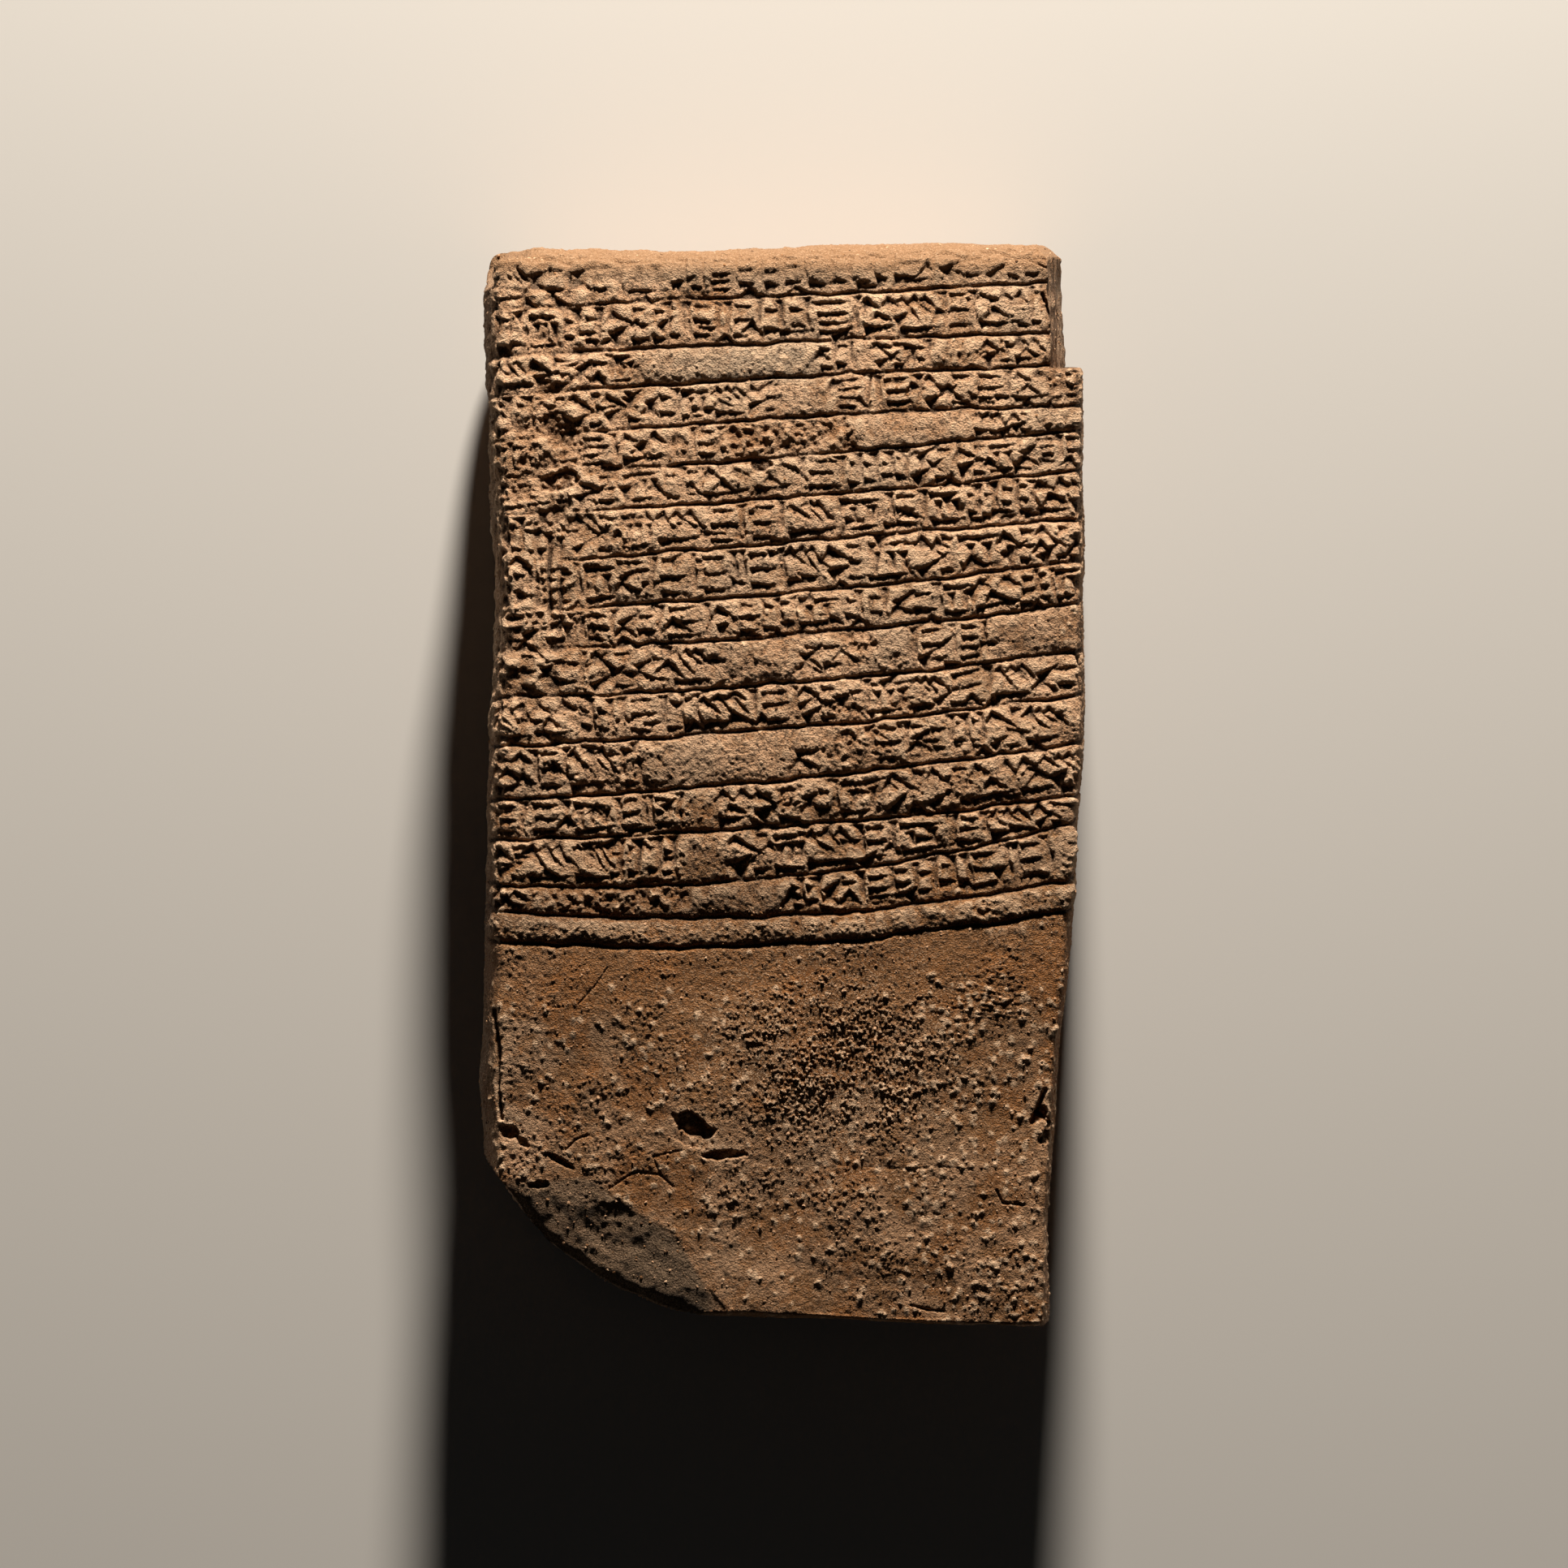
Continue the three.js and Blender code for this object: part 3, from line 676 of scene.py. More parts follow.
def draw_crack(face, relief, points, width, depth):
    """A thin crack along a few points."""
    for (x0, y0), (x1, y1) in zip(points, points[1:]):
        length = math.hypot(x1 - x0, y1 - y0)
        here = face.window((x0 + x1) / 2, (y0 + y1) / 2, length / 2 + 1)
        along, across = turned(face.u[here] - x0, face.v[here] - y0, (x1 - x0) / length, (y1 - y0) / length)
        beyond = np.maximum(0, np.abs(along - length / 2) - length / 2)
        relief[here] -= depth * np.clip(1 - np.hypot(np.abs(across), beyond) / width, 0, 1)


def swell_rows(face, bulge):
    """The clay swells between the ruled lines."""
    u, v = face.u, face.v
    relief = np.zeros_like(u)
    for row, lower in enumerate(RULINGS):
        top, low = ruling_height(upper_ruling(row), u), ruling_height(lower, u)
        t = np.clip((top - v) / (top - low), 0, 1)
        swell = (1 - np.exp(-t / 0.14)) * (1 - t**3.2)
        even = 0.35 + 0.65 * ramp(u, -27, -12) if 2 < row < 9 else 1
        relief += np.where((t > 0) & (t < 1), bulge * even * swell, 0)
    return relief * (1 - ramp(np.abs(u), 32, 36))


def damaged_places(face):
    """Where the writing is worn to rough clay, from 0 to 1."""
    patch, rag = face.patch, face.rag
    scattered = ramp(face.noise[6] * 0.7 + face.noise[2.6] * 0.5, 1.25, 1.7)
    return np.maximum.reduce([
        patch(-19, -12.6, 17.5, 3.6, 1, ragged=rag),
        patch(-2, 37.7, 21, 3.6, 3, ragged=rag),
        patch(-26.5, 35.5, 6.5, 14, ragged=rag) * 0.8,
        patch(9, 15.5, 5, 3.6, ragged=rag) * 0.9,
        patch(6, 4, 7, 3.4, ragged=rag) * 0.7,
        patch(-17, -0.2, 9, 4, ragged=rag) * 0.5,
        patch(30.2, 52.5, 3.2, 16, ragged=rag) * 0.8,
        0.6 * scattered * ramp(face.v, -17, -14),
    ])


def press_rulings(face, depth, deepest):
    """The clay above a ruled line rolls over into it, and the line's lower rim is sharp."""
    for row in range(len(RULINGS)):
        off = face.bent_v - seam_height(row, face.u)
        wall = np.where(off > 0, 1 - off / ROLLED_WIDTH, 1 + off / SHARP_WIDTH)
        faint = 0.25 + 0.75 * ramp(face.u, -26, -12) if row < 9 else 1
        strength = np.clip(0.85 + 0.22 * face.noise[6], 0.35, 1.25) * faint
        strength = strength * (1 - ramp(np.abs(face.u), 34, 38))
        depth = np.maximum(depth, deepest * strength * wall)
        rim = np.where(off > 0, off * 0.7, -off * 1.6) + 0.8 * (1 - strength)
        face.beside = np.minimum(face.beside, np.maximum(rim, 0))
    return depth


def write_face(face, writing, damage):
    """The rows with their strokes and ruled lines, rounded and worn."""
    u, v, noise = face.u, face.v, face.noise
    relief = swell_rows(face, writing.row_bulge)
    for stroke in all_strokes(writing.seed) + small_strokes(writing.seed):
        press_stroke(face, stroke, writing.stroke_depth)
    worn = 0.3 + 0.25 * noise[14] + 0.3 * ramp(-u, 12, 28) * ramp(v, -4, 20)
    kept = (1 - 0.3 * np.clip(worn, 0, 0.85)) * (1 - 0.7 * damage)
    depth = press_rulings(face, face.depth * kept * (1 + 0.12 * noise[2.6]), writing.ruling_depth)
    pillow = writing.pillow * kept * np.exp(-((face.beside / writing.shoulder) ** 1.3))
    sharp = -depth - pillow
    return face.blur(relief, 0.12) + sharp + writing.squeeze * face.blur(-sharp, 0.8)


def raised(noise):
    """Noise whose lumps stand up more than its dips go down."""
    return np.where(noise > 0, 1.5, 0.4) * noise


def weather(face, relief, damage):
    """Adds broad waviness, lumps and grain."""
    u, v, noise = face.u, face.v, face.noise
    rows = ramp(v, -18.5, -15)
    field = 1 - rows
    relief += 0.14 * noise[14] + 0.06 * noise[6] + (0.025 + 0.02 * rows) * noise[2.6]
    relief += (0.012 + 0.02 * rows) * noise[1.2] + 0.016 * noise[0.6]
    jumble = ramp(-u, 13, 25) * ramp(v, -2, 8)
    relief += jumble * (0.05 * noise[1.2] + 0.08 * noise[2.6])
    relief -= damage * (0.25 + 0.14 * noise[1.2] + 0.1 * noise[0.6] + 0.07 * noise[0.4])
    left_grit = face.patch(-25, -36, 16, 26, edge=0.5, ragged=face.rag)
    gritty = np.clip(0.35 + 0.4 * noise[6] + 0.3 * noise[2.6] + 0.6 * left_grit, 0, 1.4)
    gritty = gritty * (0.45 + 0.55 * field)
    relief += (0.018 - 0.01 * field) * noise[0.4] + (0.022 - 0.012 * field) * noise[0.26]
    relief += gritty * (0.014 * raised(noise[0.4]) + 0.016 * raised(noise[0.26]))


def grow_crust(face, relief, tall):
    """Adds the mineral crust over the middle of the blank field, and returns where it is."""
    patch, rag, noise = face.patch, face.rag, face.noise
    crust = np.maximum.reduce([
        patch(5.5, -29, 27, 20, edge=0.5, ragged=rag) * 0.5,
        patch(6, -33.5, 20, 10, edge=0.45, ragged=rag),
        patch(6.5, -23.5, 14, 5, edge=0.4, ragged=rag) * 0.6,
        patch(2, -44, 16, 7, edge=0.5, ragged=rag) * 0.4,
    ])
    clumps = np.clip(0.7 + 0.35 * noise[2.6] + 0.4 * noise[1.2], 0.1, 1.7)
    relief += tall * crust * clumps * (0.3 * raised(noise[0.4]) + 0.95 * raised(noise[0.26]))
    return crust


def grow_pimples(face, relief, how_many):
    """Adds low mounds, most of them at the right of the blank field, and returns where they are."""
    chance = make_chance(77)
    pimple = np.zeros_like(relief)
    while how_many:
        x, y, share = chance(-33, 33), chance(-60, 60), chance(0, 1)
        if share > pimple_chance(x, y):
            continue
        how_many -= 1
        tall, wide = 0.07 + 0.12 * chance(0, 1) ** 1.3, chance(0.22, 0.4)
        here = face.window(x, y, 1.2)
        away = np.hypot(face.u[here] - x, (face.v[here] - y) * chance(0.75, 1.2))
        mound = np.exp(-((away * (1 + 0.2 * face.noise[0.4][here]) / wide) ** 2))
        relief[here] += tall * mound
        pimple[here] = np.maximum(pimple[here], mound)
    return pimple


def face_relief(writing, surface):
    """The face's relief in millimetres, and the masks that its colours follow."""
    face = FaceMap(seed=7)
    u, v, noise = face.u, face.v, face.noise
    damage = damaged_places(face)
    relief = write_face(face, writing, damage)
    weather(face, relief, damage)
    crust = grow_crust(face, relief, surface.crust)
    pimple = grow_pimples(face, relief, surface.pimples)
    hollow_floor = 0.05 * noise[0.6] + 0.06 * noise[1.2]
    for x, y, long, wide, deep, turn in HOLLOWS:
        pit = face.patch(x, y, long, wide, turn, edge=0.16, ragged=0.5 * face.rag + 0.08 * noise[0.6])
        relief -= pit * (deep + hollow_floor)
    for points, width, deep in CRACKS:
        draw_crack(face, relief, points, width, deep)
    finger_ripples = np.sin((v + 0.08 * u + 0.15 * noise[2.6]) * 2 * math.pi / 0.5)
    relief += 0.035 * face.patch(21.5, -23.3, 10, 7, 4, edge=0.4) * finger_ripples
    hollow = np.clip((face.blur(relief, 0.9) - relief) / 0.5, -1, 1)
    return face, relief, {"hollow": hollow, "crust": crust, "damage": damage, "pimple": pimple}


# ---- Meshes ----
def as_mesh(shape, name):
    mesh = bpy.data.meshes.new(name)
    shape.to_mesh(mesh)
    shape.free()
    return mesh


def dense_cube(name, cells, open_low=False, open_high=False):
    """A cube from -1 to 1 whose faces are cut into cells along X, Y and Z. Its Y ends may be left open."""
    shape = bmesh.new()
    bmesh.ops.create_cube(shape, size=2)
    ends = [f for f in shape.faces if (open_low and f.normal.y < -0.5) or (open_high and f.normal.y > 0.5)]
    bmesh.ops.delete(shape, geom=ends, context="FACES_ONLY")
    for axis in (2, 0, 1):
        across = [e for e in shape.edges if abs(e.verts[0].co[axis] - e.verts[1].co[axis]) > 1e-6]
        bmesh.ops.subdivide_edges(shape, edges=across, cuts=cells[axis] - 1, use_grid_fill=True)
    return as_mesh(shape, name)


def close_ends(mesh):
    """Fills a section's open ends, each with one face."""
    shape = bmesh.new()
    shape.from_mesh(mesh)
    bmesh.ops.holes_fill(shape, edges=[e for e in shape.edges if e.is_boundary], sides=0)
    bmesh.ops.recalc_face_normals(shape, faces=shape.faces)
    shape.to_mesh(mesh)
    shape.free()


def crease_ends(mesh, lines):
    """Keeps the smooth shading of the surface apart from a section's flat ends."""
    normals, centres = read(mesh.polygons, "normal", 3), read(mesh.polygons, "center", 3)
    at_end = np.zeros(len(mesh.polygons), bool)
    for line in lines:
        at_end |= np.abs(centres[:, 1] - seam_height(line, centres[:, 0])) < SEAM_WIDTH
    at_end &= (np.abs(normals[:, 2]) < 0.2) & (np.abs(normals[:, 1]) > 0.8)
    totals = read(mesh.polygons, "loop_total", kind=np.int32)
    edges = read(mesh.loops, "edge_index", kind=np.int32)
    sides = np.zeros((len(mesh.edges), 2), int)
    np.add.at(sides, (edges, np.repeat(at_end.astype(int), totals)), 1)
    store(mesh, "sharp_edge", (sides > 0).all(axis=1), "BOOLEAN", "EDGE")


def read(items, name, width=1, kind=float):
    """One number, or width numbers, of every item of a mesh."""
    values = np.empty(len(items) * width, kind)
    items.foreach_get(name, values)
    return values.reshape(-1, width) if width > 1 else values


def read_points(mesh):
    return read(mesh.vertices, "co", 3)


def store(mesh, name, values, kind="FLOAT", domain="POINT"):
    """Keeps a number for each point, or another domain, of a mesh."""
    mesh.attributes.new(name, kind, domain).data.foreach_set("value", values)


def write_points(mesh, points):
    mesh.vertices.foreach_set("co", points.ravel())
    mesh.update()


def place(data, name):
    """Puts a mesh, light or camera in the scene as an object at the origin."""
    piece = bpy.data.objects.new(name, data)
    bpy.context.scene.collection.objects.link(piece)
    return piece


def bake_modifiers(piece):
    """Replaces a piece's mesh by what its modifiers make of it."""
    graph = bpy.context.evaluated_depsgraph_get()
    mesh = bpy.data.meshes.new_from_object(piece.evaluated_get(graph))
    piece.modifiers.clear()
    mesh.materials.clear()
    piece.data = mesh


def face_place(points, ways):
    """Where points lie on the face's unrolled map, and how much of its relief they take."""
    x, y, z = points.T
    drop = np.maximum(0, face_height(x, y) - z)
    u = x + 0.8 * drop * ways[:, 0]
    v = y + 0.8 * drop * ways[:, 1]
    return u, v, ramp(z, 8, 15)


def rough(points, amounts, seed):
    """Sums noise of several sizes: amounts is pairs of lump size and height."""
    total = np.zeros(len(points))
    for k, (size, height) in enumerate(amounts):
        total += height * clay_noise(points, size, seed + k)
    return total


def layered(level, low, middle, high):
    """Heights for a block's three layers of points, at levels -1, 0 and 1."""
    return np.where(level > 0.5, high, np.where(level < -0.5, low, middle))


def corner_cutter():
    """The clay that broke away at the lower left corner."""
    wide, long = 36, 24
    mesh = dense_cube("corner_cutter", (200, 134, 2))
    points = read_points(mesh)
    x = -HALF_WIDTH - 1 + wide * (points[:, 0] + 1) / 2
    y = -HALF_LENGTH - 1 + long * (points[:, 1] + 1) / 2
    low = broken_height(x, y)
    flat = np.stack([x, y, np.zeros_like(x)], axis=1)
    bearing, inward, reach = break_place(x, y)
    calm = 0.2 + 0.8 * ramp(inward, 0, 2.5)
    coarse = calm * (0.45 + 0.55 * bell(bearing, -122, 12))
    scarred = ramp(reach - inward, -0.5, 1.0) * ramp(reach, 0, 4)
    uneven = calm * rough(flat, ((4.5, 0.18), (2.2, 0.1)), 31)
    uneven = uneven + coarse * rough(flat, ((1.3, 0.12), (0.6, 0.08)), 35)
    low = low + scarred * (uneven + rough(flat, ((0.4, 0.03),), 39))
    z = layered(points[:, 2], np.clip(low, -6, THICKNESS + 2), THICKNESS + 5, THICKNESS + 8)
    turn = np.arctan2(y - BREAK["y"], x - BREAK["x"])
    push = rough(np.stack([x, y, z], axis=1), ((5, 0.3), (2, 0.2), (0.9, 0.08)), 43)
    push *= 1 - ramp(inward, 0.5, 3)
    write_points(mesh, np.stack([x + push * np.cos(turn), y + push * np.sin(turn), z], axis=1))
    return place(mesh, "corner_cutter")


def slab_cutter(name, through, facing, size, amounts, seed):
    """A slab with one uneven face that passes through a point and looks along a direction."""
    mesh = dense_cube(name, (48, 48, 2))
    points = read_points(mesh)
    local = points * size / 2
    local[:, 2] = layered(points[:, 2], rough(local, amounts, seed), size / 4, size / 2)
    normal = np.array(facing) / np.linalg.norm(facing)
    side = np.cross([0, 0, 1], normal)
    side /= np.linalg.norm(side)
    axes = np.stack([side, np.cross(normal, side), normal])
    write_points(mesh, local @ axes + np.array(through))
    return place(mesh, name)


def cut_away(piece, cutters):
    for cutter in cutters:
        boolean = piece.modifiers.new("Cut", "BOOLEAN")
        boolean.operation = "DIFFERENCE"
        boolean.solver = "MANIFOLD"
        boolean.object = cutter
    bake_modifiers(piece)
    for cutter in cutters:
        bpy.data.objects.remove(cutter)


def thin_out(piece, triangles):
    """Takes triangles out where the surface is plain."""
    now = sum(len(p.vertices) - 2 for p in piece.data.polygons)
    thin = piece.modifiers.new("Thin", "DECIMATE")
    thin.ratio = min(1, triangles / now)
    thin.use_collapse_triangulate = True
    bake_modifiers(piece)


def end_unit(line, across, end):
    """Where a section ends, as a share of the cushion's half length, at each place across it."""
    if line is None:
        return np.full_like(across, end)
    x = across * HALF_WIDTH
    for _ in range(3):
        y = seam_height(line, x)
        middle, half = across_at(y)
        x = middle + across * half
    return y / np.where(y > 0, top_edge(x), -bottom_edge(x))


def clay_section(name, low_line, high_line, relief_map, surface):
    """One section of the tablet, closed where it meets its neighbours, with its colours' masks."""
    face, relief, masks = relief_map
    spacing = surface.spacing * 1
    low_end = -HALF_LENGTH if low_line is None else RULINGS[low_line][1]
    high_end = HALF_LENGTH if high_line is None else RULINGS[high_line][1]
    cells = (round(2 * HALF_WIDTH / spacing), round((high_end - low_end) / spacing), SIDE_CELLS)
    mesh = dense_cube(name, cells, low_line is not None, high_line is not None)
    unit = read_points(mesh)
    down = (1 - unit[:, 2]) / 2
    unit[:, 2] = 1 - 2 * (0.45 * down + 0.55 * down**2)
    low, high = end_unit(low_line, unit[:, 0], -1.0), end_unit(high_line, unit[:, 0], 1.0)
    unit[:, 1] = low + (high - low) * (unit[:, 1] + 1) / 2
    points = cushion_points(unit)
    ways = outward(points)
    u, v, share = face_place(points, ways)
    lift = share * face.sample(relief, u, v)
    lift += (1 - share) * rough(points, SIDE_LUMPS, 3)
    points = points + ways * lift[:, None]
    points[:, 2] = (points[:, 2] + np.hypot(points[:, 2], SETTLED)) / 2
    write_points(mesh, points)
    lines = [line for line in (low_line, high_line) if line is not None]
    close_ends(mesh)
    piece = place(mesh, name)
    if high_line is None:
        cut_away(piece, [slab_cutter(*chip) for chip in CHIPS])
    if low_line is None:
        cut_away(piece, [corner_cutter()])
    thin_out(piece, surface.triangles // (1))
    piece.data.shade_smooth()
    crease_ends(piece.data, lines)
    paint_masks(piece, face, masks)
    write_points(piece.data, read_points(piece.data) * MM)
    return piece


def grain_shape(seed):
    """One small faceted grain of about unit size, from an icosphere."""
    shape = bmesh.new()
    bmesh.ops.create_icosphere(shape, subdivisions=1, radius=1)
    chance = make_chance(seed)
    for vert in shape.verts:
        vert.co *= chance(0.7, 1.15)
    points = np.array([vert.co[:] for vert in shape.verts])
    faces = np.array([[vert.index for vert in face.verts] for face in shape.faces])
    shape.free()
    return points, faces


def mineral_grains(pieces, count, likely, sizes, seed, name):
    """Grains half sunk in the surface of the pieces. Each falls from above, or comes in from the side."""
    graph = bpy.context.evaluated_depsgraph_get()
    trees = [BVHTree.FromObject(piece, graph) for piece in pieces]
    chance = make_chance(seed)
    shapes = [grain_shape(seed + k) for k in range(6)]
    all_points, all_faces, shades, start = [], [], [], 0
    while len(shades) < count:
        x, y = chance(-34, 34), chance(-61, 61)
        from_side = chance(0, 1) < GRAINS_FROM_SIDE
        z = chance(5, 22)
        size = sizes[0] + (sizes[1] - sizes[0]) * chance(0, 1) ** 2.2
        squash, spin, shade = chance(0.35, 0.6), chance(0, 2 * math.pi), chance(0, 1)
        if chance(0, 1) > (0.7 if from_side else likely(x, y)):
            continue
        if from_side:
            origin, way = Vector((math.copysign(60, x), y, z)), Vector((-math.copysign(1, x), 0, 0))
        else:
            origin, way = Vector((x, y, 60)), Vector((0, 0, -1))
        hits = [tree.ray_cast(origin * MM, way) for tree in trees]
        hits = [hit for hit in hits if hit[0] is not None]
        if not hits:
            continue
        hit, normal, _, _ = min(hits, key=lambda found: found[3])
        if hit.z < LOWEST_GRAIN * MM:
            continue
        points, faces = shapes[len(shades) % len(shapes)]
        turn = normal.to_track_quat("Z", "Y").to_matrix() @ Matrix.Rotation(spin, 3, "Z")
        local = points * np.array([size, size * chance(0.7, 1.0), size * squash])
        all_points.append(local @ np.array(turn).T + np.array(hit) / MM)
        all_faces.append(faces + start)
        shades.append(shade)
        start += len(points)
    mesh = bpy.data.meshes.new(name)
    mesh.from_pydata(np.concatenate(all_points) * MM, [], np.concatenate(all_faces))
    mesh.update()
    store(mesh, "shade", np.repeat(shades, len(points)))
    return place(mesh, name)


def paint_masks(piece, face, masks):
    """Stores each mask as a number on every point."""
    mesh = piece.data
    points = read_points(mesh)
    u, v, share = face_place(points, outward(points))
    x, y, z = points.T
    bearing, inward, reach = break_place(x, y)
    fresh = ramp(reach - inward, 0, 0.8) * ramp(reach, 0, 4) * ramp(z, 12, 18)
    fresh *= (1 - ramp(bearing, -100, BREAK["end"])) * (0.85 + 0.15 * ramp(bearing, -124, -116))
    store(mesh, "fresh", fresh)
    for name, grid in masks.items():
        store(mesh, name, share * face.sample(grid, u, v))


# ---- Shaders ----
class Value:
    """A shader socket that takes part in Python arithmetic."""

    def __init__(self, shader, socket):
        self.shader = shader
        self.socket = socket

    def math(self, operation, first, second, clamp=False):
        settings = {"operation": operation, "use_clamp": clamp}
        return self.shader.value("ShaderNodeMath", 0, {0: first, 1: second}, settings)

    def __add__(self, other):
        return self.math("ADD", self, other)

    def __sub__(self, other):
        return self.math("SUBTRACT", self, other)

    def __rsub__(self, other):
        return self.math("SUBTRACT", other, self)

    def __mul__(self, other):
        return self.math("MULTIPLY", self, other)

    __radd__ = __add__
    __rmul__ = __mul__

    def clamp(self):
        return self.math("ADD", self, 0.0, clamp=True)

    def ramp(self, low, high):
        """0 below low, 1 above high, and smooth in between."""
        inputs = {"Value": self, "From Min": low, "From Max": high, "To Min": 0.0, "To Max": 1.0}
        return self.shader.value("ShaderNodeMapRange", "Result", inputs, {"interpolation_type": "SMOOTHSTEP"})


class Shader:
    """A material that is put together from nodes."""

    def __init__(self, name):
        self.material = bpy.data.materials.new(name)
        self.material.use_nodes = True
        self.tree = self.material.node_tree
        self.tree.nodes.clear()
        self.place = self.value("ShaderNodeTexCoord", "Object", {})

    def node(self, kind, inputs, settings=None):
        node = self.tree.nodes.new(kind)
        for key, value in (settings or {}).items():
            setattr(node, key, value)
        for key, value in inputs.items():
            if isinstance(value, Value):
                self.tree.links.new(value.socket, node.inputs[key])
            else:
                node.inputs[key].default_value = value
        return node

    def value(self, kind, output, inputs, settings=None):
        """One output of a new node."""
        return Value(self, self.node(kind, inputs, settings).outputs[output])

    def noise(self, size, detail=3.0, rough=0.55):
        """Noise from 0 to 1 with lumps about size millimetres across."""
        inputs = {"Vector": self.place, "Scale": 1 / (size * MM), "Detail": detail, "Roughness": rough}
        return self.value("ShaderNodeTexNoise", "Fac", inputs)

    def attribute(self, name):
        return self.value("ShaderNodeAttribute", "Fac", {}, {"attribute_name": name})

    def mix(self, factor, first, second):
        """A colour between two colours."""
        first, second = (c if isinstance(c, Value) else (*c, 1.0) for c in (first, second))
        return self.value("ShaderNodeMix", 2, {0: factor, 6: first, 7: second}, {"data_type": "RGBA"})

    def layers(self, colour, *layers):
        """A colour with others laid over it, each a share and a colour."""
        for share, over in layers:
            colour = self.mix(share, colour, over)
        return colour

    def bump(self, height, distance):
        """A normal from a height, where 1 stands for distance millimetres."""
        return self.value("ShaderNodeBump", "Normal", {"Height": height, "Distance": distance * MM})

    def finish(self, colour, roughness, **more):
        inputs = {"Base Color": colour, "Roughness": roughness, "Specular IOR Level": 0.25, **more}
        surface = self.value("ShaderNodeBsdfPrincipled", "BSDF", inputs)
        self.node("ShaderNodeOutputMaterial", {"Surface": surface})
        return self.material


def grain_material(colours):
    """Pimples and grains: from dark brown over clay to pale mineral."""
    shader = Shader("mineral_grain")
    shade = shader.attribute("shade")
    speck = shader.noise(0.3, 2, 0.6)
    colour = shader.layers(
        shader.mix(shade.ramp(0.0, 0.3), colours.dirt_and_shade, colours.brown),
        (shade.ramp(0.2, 0.75), colours.buff),
        (shade.ramp(0.9, 0.97), colours.salt),
        (speck.ramp(0.45, 0.7) * 0.4, colours.rust),
    )
    return shader.finish(colour, 0.85, Normal=shader.bump(speck, 0.05))


